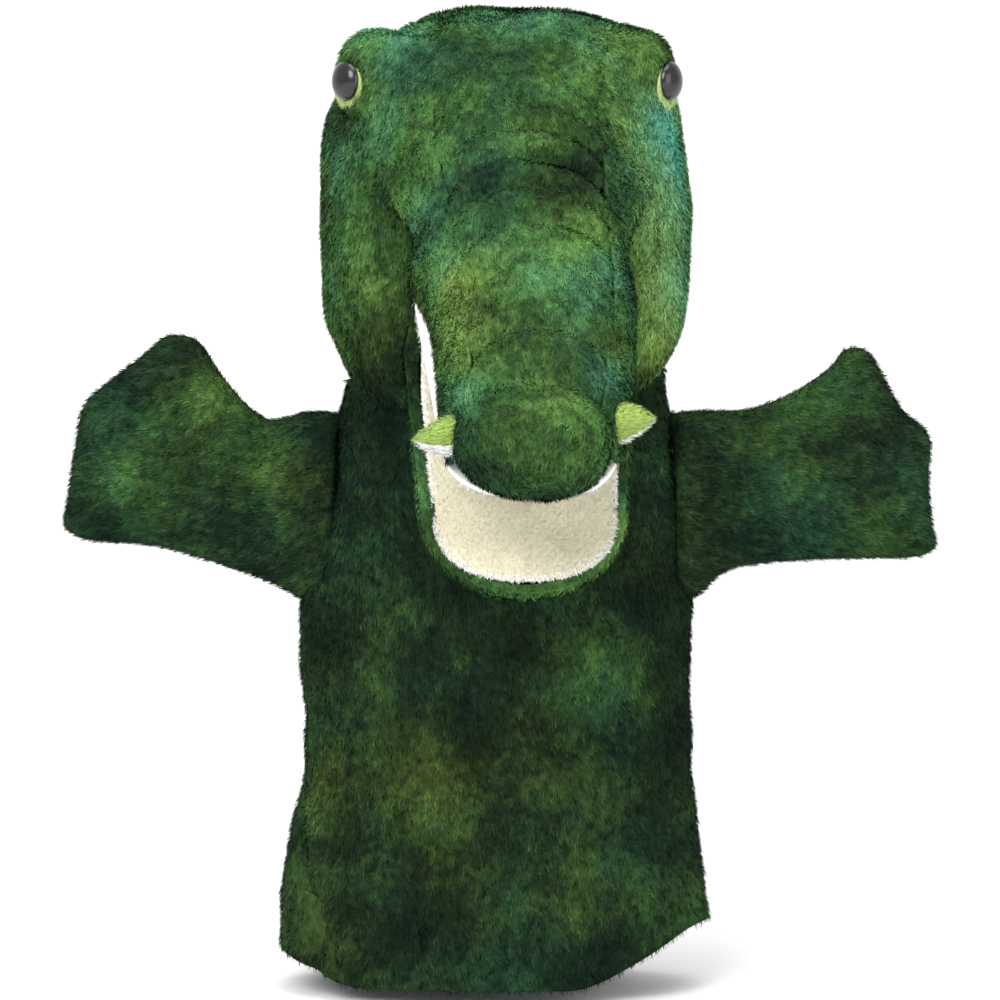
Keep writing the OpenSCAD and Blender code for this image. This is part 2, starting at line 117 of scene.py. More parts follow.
def waves(p, size, seed, count=7):
    """Smooth ups and downs of about -1 to 1 at points p, in bumps of about size mm."""
    draw = np.random.default_rng(seed)
    total = np.zeros(p.shape[:-1])
    for _ in range(count):
        k = unit(draw.normal(size=3)) * 2 * math.pi / (size * draw.uniform(0.8, 1.7))
        total += np.sin(p @ k + draw.uniform(0, 2 * math.pi))
    return total / math.sqrt(count) / 1.3


def waves3(p, size, seed):
    """Three such fields, as a push in x, y and z."""
    return np.stack([waves(p, size, seed * 31 + k) for k in range(3)], -1)


def turned(x, f, z):
    """Head-frame places, f forward, as points in the row frame."""
    c, s = math.cos(YAW), math.sin(YAW)
    return np.stack([x * c + f * s, x * s - f * c, z + 0 * x], -1)


def on_palate(x, out, s):
    """x across, out from the palate plane, s along the palate from the mouth fold."""
    f = FOLD_F + s * math.cos(PALATE_SLOPE) + out * math.sin(PALATE_SLOPE)
    z = FOLD_Z - s * math.sin(PALATE_SLOPE) + out * math.cos(PALATE_SLOPE)
    return turned(x, f, z)


def on_jaw(x, out, s):
    """x across, out away from the mouth, s along the jaw from the mouth fold."""
    f = FOLD_F + s * math.cos(JAW_SLOPE) - out * math.sin(JAW_SLOPE)
    z = FOLD_Z - s * math.sin(JAW_SLOPE) - out * math.cos(JAW_SLOPE)
    return turned(x, f, z)


# ---- meshes


def grid_normals(p, wrap):
    """Normals of a grid of points, rows by columns; wrap joins the last column to the first."""
    du = np.gradient(p, axis=0)
    if wrap:
        dv = (np.roll(p, -1, 1) - np.roll(p, 1, 1)) / 2
    else:
        dv = np.gradient(p, axis=1)
    return unit(np.cross(du, dv))


def pushed(p, push, wrap=False):
    """The grid moved out along its normals by push mm at each point."""
    return p + grid_normals(p, wrap) * push[..., None]


def facing(p, wrap, inside):
    """The grid with its columns in the order that makes its normals point away from inside."""
    n = grid_normals(p, wrap)
    if ((p - inside) * n).sum() < 0:
        return p[:, ::-1].copy()
    return p


def edge_distance(p, edge):
    """Distance in mm of each grid point from one edge: top, bottom, left or right."""
    axis = 0 if edge in ("top", "bottom") else 1
    gap = np.linalg.norm(np.diff(p, axis=axis), axis=-1)
    total = np.concatenate([np.zeros_like(np.take(gap, [0], axis)), np.cumsum(gap, axis)], axis)
    if edge in ("bottom", "right"):
        total = np.take(total, [-1], axis) - total
    return total


def rolled(p, edges, depth=2.2, width=4.0, wrap=False):
    """The grid with its sewn edges pulled in, as plush does at a seam."""
    pull = np.zeros(p.shape[:2])
    for edge in edges:
        pull = np.maximum(pull, bell(edge_distance(p, edge), width))
    return pushed(p, -pull * depth, wrap)


def grid_faces(rows, cols, wrap):
    i, j = grid(np.arange(rows - 1), np.arange(cols if wrap else cols - 1))
    a = i * cols + j
    b = i * cols + (j + 1) % cols
    return np.stack([a, b, b + cols, a + cols], -1).reshape(-1, 4)[:, ::-1]


def new_object(name, data):
    ob = bpy.data.objects.new(name, data)
    bpy.context.scene.collection.objects.link(ob)
    return ob


def new_mesh(name, points, faces):
    """An object from points in mm and faces of 3 or 4 corners; -1 pads a triangle."""
    me = bpy.data.meshes.new(name)
    sizes = (faces >= 0).sum(1)
    me.vertices.add(len(points))
    me.vertices.foreach_set("co", (np.asarray(points) * MM).astype(np.float32).ravel())
    me.loops.add(int(sizes.sum()))
    me.loops.foreach_set("vertex_index", faces[faces >= 0].astype(np.int32))
    me.polygons.add(len(faces))
    starts = np.concatenate([[0], np.cumsum(sizes)[:-1]])
    me.polygons.foreach_set("loop_start", starts.astype(np.int32))
    me.update(calc_edges=True)
    me.validate()
    return new_object(name, me)


def set_attribute(ob, name, kind, values):
    at = ob.data.attributes.new(name, kind, "POINT")
    key = "vector" if kind == "FLOAT_VECTOR" else "value"
    at.data.foreach_set(key, np.asarray(values, np.float32).ravel())


def vectors(items, key, kind=np.float32):
    """The values of three numbers that mesh items hold, one row each."""
    flat = np.zeros(len(items) * 3, kind)
    items.foreach_get(key, flat)
    return flat.reshape(-1, 3)


def shade_smooth(ob):
    ob.data.polygons.foreach_set("use_smooth", [True] * len(ob.data.polygons))


def skin(name, p, wrap, thickness, material):
    """A cloth piece with thickness from a grid whose normals point out."""
    ob = new_mesh(name, p.reshape(-1, 3), grid_faces(*p.shape[:2], wrap))
    m = ob.modifiers.new("thickness", "SOLIDIFY")
    m.thickness = thickness * MM
    m.offset = -1
    done = bpy.data.meshes.new_from_object(ob.evaluated_get(bpy.context.evaluated_depsgraph_get()))
    ob.modifiers.clear()
    ob.data = done
    shade_smooth(ob)
    co = vectors(ob.data.vertices, "co")
    set_attribute(ob, "root_at", "FLOAT_VECTOR", co)
    set_attribute(ob, "along", "FLOAT", np.full(len(co), 0.25))
    set_attribute(ob, "strand", "FLOAT", np.full(len(co), 0.5))
    # Blotch colours and painted shade, for each point.
    set_attribute(ob, "dye_and_shade", "FLOAT_VECTOR", dye_and_shade(co / MM))
    ob.data.materials.append(material)
    return ob


# ---- blotch colours and painted shade
# Blotches, listed one by one: x, y, z and radius in mm, then how much lighter, more teal and more lime.

# High on the chest, at z 140 to 168 under the head, the darkening blotches are partly painted shade and partly the
# cloth's own darker colour.
BODY_DYE_AND_SHADE = [
    (2, -30, 152, 34, -0.5, 0.25, -0.2), (-34, -22, 140, 22, -0.3, 0.1, 0),
    (30, -25, 140, 24, -0.3, 0, 0), (17, -30, 84, 20, 0.3, 0, 0.25), (-14, -30, 66, 17, 0.45, 0, 0.6),
    (-30, -28, 62, 14, 0.3, 0, 0.4), (6, -30, 99, 14, -0.3, 0.1, 0.1), (-28, -28, 99, 12, -0.2, 0, 0),
    (40, -24, 94, 14, 0.35, 0, 0.1), (-46, -16, 60, 14, 0.35, 0, 0.5), (-46, -16, 36, 16, 0.25, 0, 0.5),
    (24, -28, 60, 14, 0.3, 0, 0.15), (42, -22, 62, 12, 0.1, 0.1, 0), (-14, -30, 32, 18, 0.05, 0, 0.3),
    (24, -28, 30, 20, 0.15, 0.1, 0.2), (6, -30, 14, 18, 0.05, 0.1, 0.1),
    (-46, -16, 14, 14, 0.2, 0, 0.2), (-37, -25, 168, 13, -0.45, 0, 0), (42, -25, 168, 13, -0.35, 0, 0),
]
HEAD_DYE_AND_SHADE = [
    (6, -24, 274, 20, -0.05, 0.2, 0), (-30, -28, 268, 14, 0.4, 0.75, -0.3),
    (28, -28, 268, 14, 0.3, 0.3, 0.1), (-30, -34, 252, 12, 0.25, 0.35, 0),
    (8, -46, 250, 14, -0.2, 0.2, 0), (42, -24, 252, 12, 0.4, 0.5, 0.1), (48, -24, 242, 14, 0.9, 1.0, 0),
    (-46, -20, 236, 12, 0.3, 0.4, 0), (46, -30, 222, 15, 0.75, 0.6, 0.3),
    (48, -28, 200, 15, 0.6, 0.6, 0.3), (46, -28, 184, 12, 0.25, 0.3, 0.4),
    (-28, -40, 219, 14, -0.25, 0.1, 0.1), (-42, -34, 204, 12, 0.1, 0, 0.3),
    # The dark blotches at (24, -54, 242) and (18, -62, 232) are painted shade in the creases on the snout's top
    # panel.
    (-30, -36, 182, 13, -0.35, 0, 0.1), (24, -54, 242, 13, -0.5, 0.1, 0),
    (18, -62, 232, 11, -0.55, 0, 0), (-4, -60, 232, 13, -0.35, 0.35, 0),
    (-11, -74, 206, 12, 0.6, 0, 0.6), (6, -78, 208, 12, 0.35, 0, 0.4), (26, -78, 204, 12, 0, 0.5, 0),
    (-11, -86, 190, 12, 0.7, 0.1, 0.3), (20, -88, 188, 12, -0.1, 0.4, 0),
    (-8, -98, 175, 10, 0.45, 0.2, 0.2), (12, -98, 175, 11, 0.45, 0.2, 0.2),
    (6, -116, 161, 16, -0.45, 0, 0.1), (28, -92, 180, 8, 0.1, 0.9, 0),
    (-24, -66, 150, 11, 0.5, 0.2, 0.2), (-24, -80, 128, 11, 0.5, 0, 0.4),
    (33, -72, 138, 12, 0.5, 0.1, 0.2),
]
DYE_ARMS = [
    (-100, -8, 168, 13, -0.25, 0, 0.1), (-80, -8, 168, 11, 0.5, 0, 0.3),
    (-108, -8, 150, 14, 0.25, 0, 0.1), (-62, -8, 148, 14, 0.5, 0, 0.35), (-80, -8, 134, 13, -0.2, 0, 0),
    (-100, -8, 134, 12, 0.2, 0, 0), (-116, -8, 166, 10, 0.2, 0.1, 0), (58, -8, 148, 14, -0.35, 0, 0),
    (74, -8, 134, 13, -0.25, 0.1, 0), (92, -8, 134, 13, -0.25, 0.2, 0),
    (76, -8, 152, 12, 0.15, 0, 0.25), (112, -8, 150, 14, -0.1, 0.4, 0), (93, -8, 170, 12, 0.4, 0.1, 0),
]


def dye_and_shade(points):
    """How light, teal and lime each point is, from the blotches near it; the lightness holds painted shade as well
    as the cloth's own colour.
    """
    total = np.zeros((len(points), 3), np.float32)
    for x, y, z, radius, *shift in BODY_DYE_AND_SHADE + HEAD_DYE_AND_SHADE + DYE_ARMS:
        near = bell(np.linalg.norm((points - np.array([x, y, z])) * [1, 0.35, 1], axis=1), radius * 0.8)
        total += near[:, None] * np.array(shift)
    return np.clip(total, -1, 1)


# ---- pile

HAIR_FACES = np.array([[0, 1, 3, 2], [2, 3, 4, -1]])
BLADE_POINTS = 5
MOST_BLADES = 66000


def scatter(ob, density, draw):
    """Random points on the outer side of a piece, density of them per mm2, with the normals there."""
    me = ob.data
    me.calc_loop_triangles()
    tris = vectors(me.loop_triangles, "vertices", np.int32)
    co = vectors(me.vertices, "co") / MM
    vn = vectors(me.vertices, "normal")
    half = len(co) // 2  # Solidify keeps the outer points first and adds the inner ones after them
    tris = tris[(tris < half).all(1)]
    a, b, c = co[tris[:, 0]], co[tris[:, 1]], co[tris[:, 2]]
    area = np.linalg.norm(np.cross(b - a, c - a), axis=1) / 2
    total = area.sum()
    pick = draw.choice(len(tris), int(min(MOST_BLADES, total * density)), p=area / total)
    u, v = draw.random((2, len(pick)))
    flip = u + v > 1
    u[flip], v[flip] = 1 - u[flip], 1 - v[flip]
    w = 1 - u - v
    place = a[pick] * w[:, None] + b[pick] * u[:, None] + c[pick] * v[:, None]
    na, nb, nc = (vn[tris[pick, k]] for k in range(3))
    return place, unit(na * w[:, None] + nb * u[:, None] + nc * v[:, None])


def blade_map(ob, count):
    """A UV map with a small cell of its own for each blade, so that colours can be baked onto the pile."""
    side = math.ceil(math.sqrt(count))
    corner = np.array([(0.2, 0.15), (0.8, 0.15), (0.2, 0.5), (0.8, 0.5), (0.5, 0.85)])
    at = np.zeros(len(ob.data.loops), np.int32)
    ob.data.loops.foreach_get("vertex_index", at)
    blade = at // BLADE_POINTS
    uv = (np.stack([blade % side, blade // side], -1) + corner[at % BLADE_POINTS]) / side
    ob.data.uv_layers.new(name="OFBake").data.foreach_set("uv", uv.astype(np.float32).ravel())


def pile(ob, name, lay, material, density=3.3, length=2.0, width=0.22, lift=0.46, clump=1.0, seed=1,
         keep=None):
    """Plush pile on a piece: thin blades in tufts, each of two bits, that lean the way lay says."""
    draw = np.random.default_rng(seed)
    root, n = scatter(ob, density, draw)
    if keep is not None:
        kept = keep(root)
        root, n = root[kept], n[kept]
    count = len(root)
    way = lay(root) + 0.3 * waves3(root, 16, seed)
    t = unit(way - (way * n).sum(1, keepdims=True) * n)
    jitter = draw.normal(size=(count, 3))
    reach = length * (0.7 + 0.6 * draw.random(count))[:, None]
    rise = np.clip(lift + 0.12 * draw.normal(size=count), 0.1, 1.1)[:, None]
    d0 = unit(n * (rise + 0.25) + t * (1 - 0.5 * rise) + 0.16 * jitter)
    d1 = unit(n * rise * 0.7 + t + 0.18 * jitter)
    cell = np.floor((root + 0.45 * clump * waves3(root, clump * 3, seed + 1)) / clump).astype(np.int64)
    key = cell @ np.array([1, 5003, 25030009])
    _, where, size = np.unique(key, return_inverse=True, return_counts=True)
    where = where.ravel()
    middle = np.stack([np.bincount(where, root[:, k]) / size for k in range(3)], -1)[where]
    pull = (middle - root) * np.clip(draw.normal(0.42, 0.2, count), 0, 0.85)[:, None]
    p0 = root - n * 0.25
    p1 = p0 + d0 * reach * 0.5 + pull * 0.35
    p2 = p1 + d1 * reach * 0.5 + pull * 0.65
    side = unit(np.cross(d0, n + 0.7 * draw.normal(size=(count, 3))))
    w = (width * (0.7 + 0.6 * draw.random(count)) / 2)[:, None]
    upper = side * w * 0.8
    points = np.stack([p0 - side * w, p0 + side * w, p1 - upper, p1 + upper, p2], 1)
    out = (np.cross(points[:, 1] - points[:, 0], p1 - p0) * n).sum(1) < 0
    points[out] = points[out][:, [1, 0, 3, 2, 4]]
    faces = (np.arange(count)[:, None, None] * BLADE_POINTS + HAIR_FACES).reshape(-1, 4)
    faces[1::2, 3] = -1
    fur = new_mesh(name, points.reshape(-1, 3), faces)
    shade_smooth(fur)
    bend = unit(n + 0.35 * draw.normal(size=(count, 3)) + 0.15 * t)
    fur.data.normals_split_custom_set_from_vertices(np.repeat(bend, BLADE_POINTS, 0).astype(np.float32))
    set_attribute(fur, "root_at", "FLOAT_VECTOR", np.repeat(root * MM, BLADE_POINTS, 0))
    set_attribute(fur, "along", "FLOAT", np.tile([0, 0, 0.5, 0.5, 1], count))
    strand = 0.45 * draw.random(count) + 0.55 * draw.random(len(size))[where]
    set_attribute(fur, "strand", "FLOAT", np.repeat(strand, BLADE_POINTS))
    # Blotch colours and painted shade, for each blade's root.
    set_attribute(fur, "dye_and_shade", "FLOAT_VECTOR", np.repeat(dye_and_shade(root), BLADE_POINTS, 0))
    fur.data.materials.append(material)
    blade_map(fur, count)
    return fur


# ---- materials


class Nodes:
    """A new material with short ways to add and join its nodes."""

    def __init__(self, name):
        self.mat = bpy.data.materials.new(name)
        self.mat.use_nodes = True
        self.tree = self.mat.node_tree
        self.bsdf = self.tree.nodes["Principled BSDF"]

    def add(self, kind, inputs=None, **settings):
        node = self.tree.nodes.new("ShaderNode" + kind)
        for key, value in settings.items():
            setattr(node, key, value)
        for key, value in (inputs or {}).items():
            if hasattr(value, "is_output"):
                self.tree.links.new(value, node.inputs[key])
            else:
                node.inputs[key].default_value = value
        return node

    def maths(self, operation, a, b=0.0, clamp=False):
        return self.add("Math", {0: a, 1: b}, operation=operation, use_clamp=clamp).outputs[0]

    def mix(self, share, a, b):
        node = self.add("Mix", data_type="RGBA", clamp_factor=True)
        for key, value in (("Factor", share), (6, a), (7, b)):
            self.tree.links.new(value, node.inputs[key])
        return node.outputs[2]

    def noise(self, at, scale, detail, roughness=0.5):
        inputs = {"Vector": at, "Scale": scale, "Detail": detail, "Roughness": roughness}
        return self.add("TexNoise", inputs).outputs[0]

    def scaled(self, vector, factor):
        return self.add("VectorMath", {0: vector, 3: factor}, operation="SCALE").outputs[0]

    def swing(self, value, middle, share):
        """How far a value is from its middle, times share."""
        return self.maths("MULTIPLY", self.maths("SUBTRACT", value, middle), share)

    def raised(self, value, share, start):
        """The value times share, and start on top."""
        return self.maths("ADD", self.maths("MULTIPLY", value, share), start)

    def bumped(self, height, strength, distance):
        bump = self.add("Bump", {"Height": height, "Strength": strength, "Distance": distance})
        self.tree.links.new(bump.outputs[0], self.bsdf.inputs["Normal"])

    def attribute(self, name, output="Fac"):
        return self.add("Attribute", attribute_name=name).outputs[output]

    def ramp(self, value, stops):
        node = self.add("ValToRGB", {0: value})
        while len(node.color_ramp.elements) < len(stops):
            node.color_ramp.elements.new(0.5)
        for element, (place, colour) in zip(node.color_ramp.elements, stops):
            element.position = place
            element.color = colour
        return node.outputs[0]

    def out(self, colour, roughness, sheen=0.0, specular=0.3):
        self.tree.links.new(colour, self.bsdf.inputs["Base Color"])
        self.bsdf.inputs["Roughness"].default_value = roughness
        self.bsdf.inputs["Specular IOR Level"].default_value = specular
        self.bsdf.inputs["Sheen Weight"].default_value = sheen
        return self.mat


def rgb(r, g, b):
    return (r, g, b, 1.0)


GREENS = [(0.0, rgb(0.004, 0.012, 0.007)), (0.25, rgb(0.012, 0.030, 0.014)), (0.5, rgb(0.038, 0.098, 0.028)),
          (0.72, rgb(0.10, 0.25, 0.062)), (1.0, rgb(0.24, 0.47, 0.15))]


TEAL = (0.24, 1.0, 0.72)
LIME = (0.72, 1.05, 0.22)


def plush_material(name, base, net, seed):
    """Dyed plush: soft blotches, some of them painted shade, and scale-like cells, darker at the roots and paler
    at the tips.
    """
    n = Nodes(name)
    at = n.attribute("root_at", "Vector")
    dye_and_shade_parts = n.add("SeparateXYZ", {0: n.attribute("dye_and_shade", "Vector")})
    shift = n.add("VectorMath", {0: at, 1: (seed, seed * 0.7, 0.3)}, operation="ADD").outputs[0]
    hue = n.add("TexNoise", {"Vector": shift, "Scale": 34.0, "Detail": 2.0, "W": 2.0}, noise_dimensions="4D")
    hue = hue.outputs[0]
    drift = n.add("TexNoise", {"Vector": shift, "Scale": 40.0}).outputs[1]
    bent = n.add("VectorMath", {0: shift, 1: n.scaled(drift, 0.012)}, operation="ADD").outputs[0]
    size = {"Vector": bent, "Scale": 54.0, "Randomness": 0.7}
    cells = n.add("TexVoronoi", size, feature="DISTANCE_TO_EDGE")
    edges = {0: cells.outputs[0], 1: 0.0, 2: 0.2, 3: 1.0, 4: 0.0}
    net_lines = n.add("MapRange", edges, interpolation_type="SMOOTHSTEP").outputs[0]
    tone = base
    for scale, detail, roughness, share in ((26.0, 3.0, 0.5, 0.9), (75.0, 3.0, 0.55, 0.4),
                                            (420.0, 2.0, 0.6, 0.6)):
        tone = n.maths("ADD", n.swing(n.noise(shift, scale, detail, roughness), 0.5, share), tone)
    tone = n.maths("SUBTRACT", tone, n.swing(net_lines, 0.3, net))
    # Blotch lightness: the cloth's own colour, with painted shade under the head and in the snout's creases.
    tone = n.maths("ADD", tone, n.maths("MULTIPLY", dye_and_shade_parts.outputs[0], 0.45), clamp=True)
    colour = n.ramp(tone, GREENS)
    level = n.add("SeparateXYZ", {0: colour}).outputs[1]
    for middle, swing, dyed_by, share, tint in ((0.52, 1.6, 1, 0.95, TEAL), (0.5, -1.6, 2, 0.9, LIME)):
        dyed_share = n.maths("MULTIPLY", dye_and_shade_parts.outputs[dyed_by], share)
        here = n.maths("ADD", n.swing(hue, middle, swing), dyed_share, clamp=True)
        colour = n.mix(here, colour, n.scaled(tint, level))
    height = n.raised(n.attribute("along"), 1.0, 0.38)
    shade = n.maths("MULTIPLY", height, n.raised(n.attribute("strand"), 2.0, 0.06))
    return n.out(n.scaled(colour, shade), 0.85, specular=0.06)


green_head = plush_material("plush_green_head", 0.55, 0.05, 0.0)
green_body = plush_material("plush_green_body", 0.272, 0.05, 0.37)
green_arms = plush_material("plush_green_arms", 0.345, 0.05, 0.71)


def plain_plush(name, colour, spread=0.25, root=0.62):
    """Undyed plush or nap of one colour, a little darker at the roots, with faint cloudy variation."""
    n = Nodes(name)
    at = n.attribute("root_at", "Vector")
    cloud = n.noise(at, 90.0, 4.0)
    speck = n.noise(at, 900.0, 2.0)
    shade = n.raised(n.attribute("along"), 1 - root, root)
    shade = n.maths("MULTIPLY", shade, n.raised(n.attribute("strand"), spread, 1 - spread / 2))
    vary = n.maths("ADD", n.maths("MULTIPLY", cloud, 0.2), n.maths("MULTIPLY", speck, 0.25))
    shade = n.maths("MULTIPLY", shade, n.maths("ADD", vary, 0.78))
    n.bumped(speck, 0.5, 0.0006)
    return n.out(n.scaled(colour, shade), 0.75, sheen=0.15, specular=0.2)


cream = plain_plush("cream_nap", (0.66, 0.62, 0.46), spread=0.12, root=0.93)
white_pile = plain_plush("white_pile", (0.97, 0.97, 0.95), spread=0.08, root=0.95)
lime_pile = plain_plush("lime_pile", (0.42, 0.60, 0.13), root=0.6)
felt_lime = plain_plush("lime_felt", (0.55, 0.70, 0.26), root=0.7)


def eye_material():
    n = Nodes("eye_gloss")
    at = n.add("TexCoord").outputs["Object"]
    grain = n.noise(at, 260.0, 3.0)
    colour = n.ramp(grain, [(0.3, rgb(0.003, 0.003, 0.004)), (0.8, rgb(0.008, 0.008, 0.010))])
    scuff = n.add("MapRange", {0: grain, 3: 0.18, 4: 0.28}).outputs[0]
    n.tree.links.new(scuff, n.bsdf.inputs["Roughness"])
    n.tree.links.new(colour, n.bsdf.inputs["Base Color"])
    n.bsdf.inputs["Coat Weight"].default_value = 0.15
    n.bsdf.inputs["Coat Roughness"].default_value = 0.08
    return n.mat


def inner_material(name, low, high, scale, roughness):
    """Stuffing, boards and washers inside: a plain noise of two close tones and a small bump."""
    n = Nodes(name)
    at = n.add("TexCoord").outputs["Object"]
    grain = n.noise(at, scale, 6.0, 0.7)
    n.bumped(grain, 0.6, 0.001)
    return n.out(n.ramp(grain, [(0.3, low), (0.7, high)]), roughness)


eye_black = eye_material()
fill_white = inner_material("fibre_fill", rgb(0.78, 0.78, 0.75), rgb(0.95, 0.95, 0.93), 220.0, 0.95)
board_grey = inner_material("stiff_felt", rgb(0.46, 0.43, 0.37), rgb(0.62, 0.59, 0.52), 700.0, 0.9)
washer_grey = inner_material("washer", rgb(0.62, 0.60, 0.56), rgb(0.70, 0.68, 0.64), 300.0, 0.5)
lining_cloth = inner_material("pocket_cloth", rgb(0.66, 0.63, 0.50), rgb(0.80, 0.77, 0.64), 1100.0, 0.85)

# ---- putting pieces in place


def place(piece, where, slot, replaces=()):
    """Rides a piece on a body when where names one; when where is (body, body, start, end) in mm, only applies the
    piece's transform.
    """
    if isinstance(where, str):
        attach(piece, where)
    else:
        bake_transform(piece)
    if replaces:
        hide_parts(*replaces)
    return piece


def plush(name, p, where, lay, material, slot, replaces, wrap=False, thickness=1.2, fill=None, **settings):
    """A plush piece: its skin and the pile on it; fill is not used."""
    base = place(skin(name, p, wrap, thickness, material), where, slot, replaces)
    place(pile(base, name + "_pile", lay, material, **settings), where, slot)
    return base


def head_plush(name, p, lay, node, **settings):
    plush(name, p, "head", lay, green_head, "green_plush", (node,), **settings)


def constant(x, y, z):
    """A lay that is the same everywhere."""
    return lambda p: np.tile(np.array([x, y, z], float), (len(p), 1))


# ---- sleeve
# Height, and how far the sleeve reaches to that side there
LEFT_WIDTH = [(0, 62.5), (25, 62.8), (38, 61), (52, 57.5), (66, 55.5), (80, 55.5), (95, 56.5), (110, 56.5),
              (135, 51.5), (155, 47.5), (172, 43.5)]
RIGHT_WIDTH = [(0, 61.5), (20, 61), (38, 58), (66, 55.5), (95, 55), (110, 56), (140, 54.5), (155, 49.5),
               (172, 46.5)]
SLEEVE_P = 2.3
NECK_BOTTOM = 172


def sleeve_shape(theta, share):
    """Point of the sleeve at angle theta and share of its height, from the hem to under the head."""
    side = np.cos(theta)
    low = 3.2 + 17 * smooth((side - 0.25) / 0.75) + 7 * smooth((-side - 0.6) / 0.4)
    z = low + (SLEEVE_TOP + 0.5 - low) * share
    return sleeve_ring(theta, z)


def sleeve_ring(theta, z):
    """Point of the sleeve at angle theta and height z."""
    side = np.cos(theta)
    left = np.interp(z, *np.array(LEFT_WIDTH).T)
    right = np.interp(z, *np.array(RIGHT_WIDTH).T)
    a = left + (right - left) * smooth((side + 0.6) / 1.2)
    b = np.interp(z, [0, 30, 60, 156, 180], [HEM_B - 1, HEM_B - 1.5, HEM_B - 2.5, HEM_B - 3, 28])
    return np.stack([a * arc_pow(side, SLEEVE_P), b * arc_pow(np.sin(theta), SLEEVE_P), z], -1)


def sleeve_folds(p):
    """Soft folds of the empty sleeve: broad waves, a drag line from each armpit and a wavy hem."""
    x, y, z = p[..., 0], p[..., 1], p[..., 2]
    free = smooth((150 - z) / 40)
    push = 1.3 * waves(p * [1, 1, 0.45], 46, 3) * free + 0.7 * waves(p, 21, 4) * free
    for sx, drop in ((1, 1.0), (-1, 0.6)):
        along_fold = (108 - z) / 26
        line = sx * 53 - sx * 15 * along_fold
        near = bell(x - line, 4.5) * smooth(along_fold * 4) * smooth((1.15 - along_fold) * 3)
        push -= 2.6 * drop * near * (y < 0)
    push += 1.2 * np.sin(x / 9.0 + 1.0) * smooth((26 - z) / 26)
    return push


def sleeve_panel(name, front):
    share, across = grid(np.linspace(0, 1, 100), np.linspace(0, 1, 110))
    seam_angle = math.pi + 0.62 * smooth((0.36 - share) / 0.3)
    theta = seam_angle + (2 * math.pi - seam_angle) * across if front else seam_angle * across
    p = sleeve_shape(theta, share)
    p = facing(p, False, p * [0, 0, 1])
    p = rolled(pushed(p, sleeve_folds(p)), ("left", "right"), 2.0, 3.5)
    where = ("torso", "neck", (0, 0, 150), (0, 0, SLEEVE_TOP))
    slot, density = ("green_plush", 3.0) if front else ("dark_plush", 2.0)
    lay = constant(0.1, 0, -1)
    base = plush(name, p, where, lay, green_body, slot, (name + "_panel",), density=density, seed=11 + front)


sleeve_panel("sleeve_front", True)
sleeve_panel("sleeve_back", False)

# ---- hem facing and neck


def neck():
    """The band between the sleeve and the head, hollowed on top where the head turns in it."""
    row, theta = grid(np.linspace(0, 1, 26), ring(140))
    top = sleeve_ring(theta, NECK_BOTTOM + 0 * theta)
    cup = HEAD_Z - np.sqrt(BALL_R**2 - np.minimum((top[..., :2] ** 2).sum(-1), 54**2))
    p = sleeve_ring(theta, SLEEVE_TOP - 0.5 + (cup - SLEEVE_TOP + 0.5) * row)
    p = facing(p, True, p * [0, 0, 1])
    base = plush("neck_band", p, "neck", constant(0.1, 0, -1), green_body, "dark_plush", ("neck_gusset",),
                 wrap=True, density=2.6, seed=17)


neck()


def hem_band():
    """The hem's edge, turned up inside."""
    row, theta = grid(np.linspace(0, 1, 10), ring(120))
    p = sleeve_shape(theta, 0.005 + 0.13 * row)
    p[..., :2] *= (1 - 2.6 / np.linalg.norm(p[..., :2], axis=-1))[..., None]
    p = facing(p, True, p * [0, 0, 1])[:, ::-1]
    base = skin("hem_facing_cloth", p, True, 0.8, green_body)
    place(base, "torso", "dark_plush", ("hem_facing",))


hem_band()

# ---- arms

LEFT_OUTLINE = [(0, 165), (7, 163), (12, 162), (19, 167), (26, 176), (32, 186), (41, 187), (46, 182),
                (58, 173), (65, 167), (67, 155), (69, 141), (71, 132), (65, 128), (45, 127), (31, 123),
                (13, 117), (0, 110)]
RIGHT_OUTLINE = [(0, 165), (10, 165), (16, 165), (28, 169), (40, 177), (44, 183), (50, 183), (54, 177),
                 (60, 165), (69, 159), (68, 145), (69, 133), (71, 126), (66, 123), (45, 123), (24, 122),
                 (10, 120), (0, 110)]
LEFT_CREASES = [((20, 164), (38, 148), 1.6), ((30, 126), (42, 146), 1.5), ((8, 158), (16, 136), 1.2),
                ((52, 170), (44, 152), 1.0), ((60, 135), (46, 140), 0.9)]
RIGHT_CREASES = [((38, 172), (30, 150), 1.5), ((20, 124), (34, 144), 1.4), ((8, 160), (14, 138), 1.2),
                 ((58, 160), (46, 148), 1.0), ((60, 130), (44, 138), 1.0)]


def rounded_outline(points, passes=2):
    """A line through points with its corners cut, then evenly spaced."""
    p = np.array(points, float)
    for _ in range(passes):
        a, b = p[:-1], p[1:]
        cut = np.stack([a * 0.8 + b * 0.2, a * 0.2 + b * 0.8], 1).reshape(-1, 2)
        p = np.concatenate([p[:1], cut, p[-1:]])
    gap = np.concatenate([[0], np.cumsum(np.linalg.norm(np.diff(p, axis=0), axis=1))])
    at = np.linspace(0, gap[-1], 130)
    return np.stack([np.interp(at, gap, p[:, k]) for k in range(2)], -1)


def segment_distance(p, a, b):
    a, b = np.array(a, float), np.array(b, float)
    t = np.clip(((p - a) @ (b - a)) / ((b - a) @ (b - a)), 0, 1)
    return np.linalg.norm(p - (a + t[..., None] * (b - a)), axis=-1), t


FILL_REACH = 0.76
FILL_INSET = 2.2


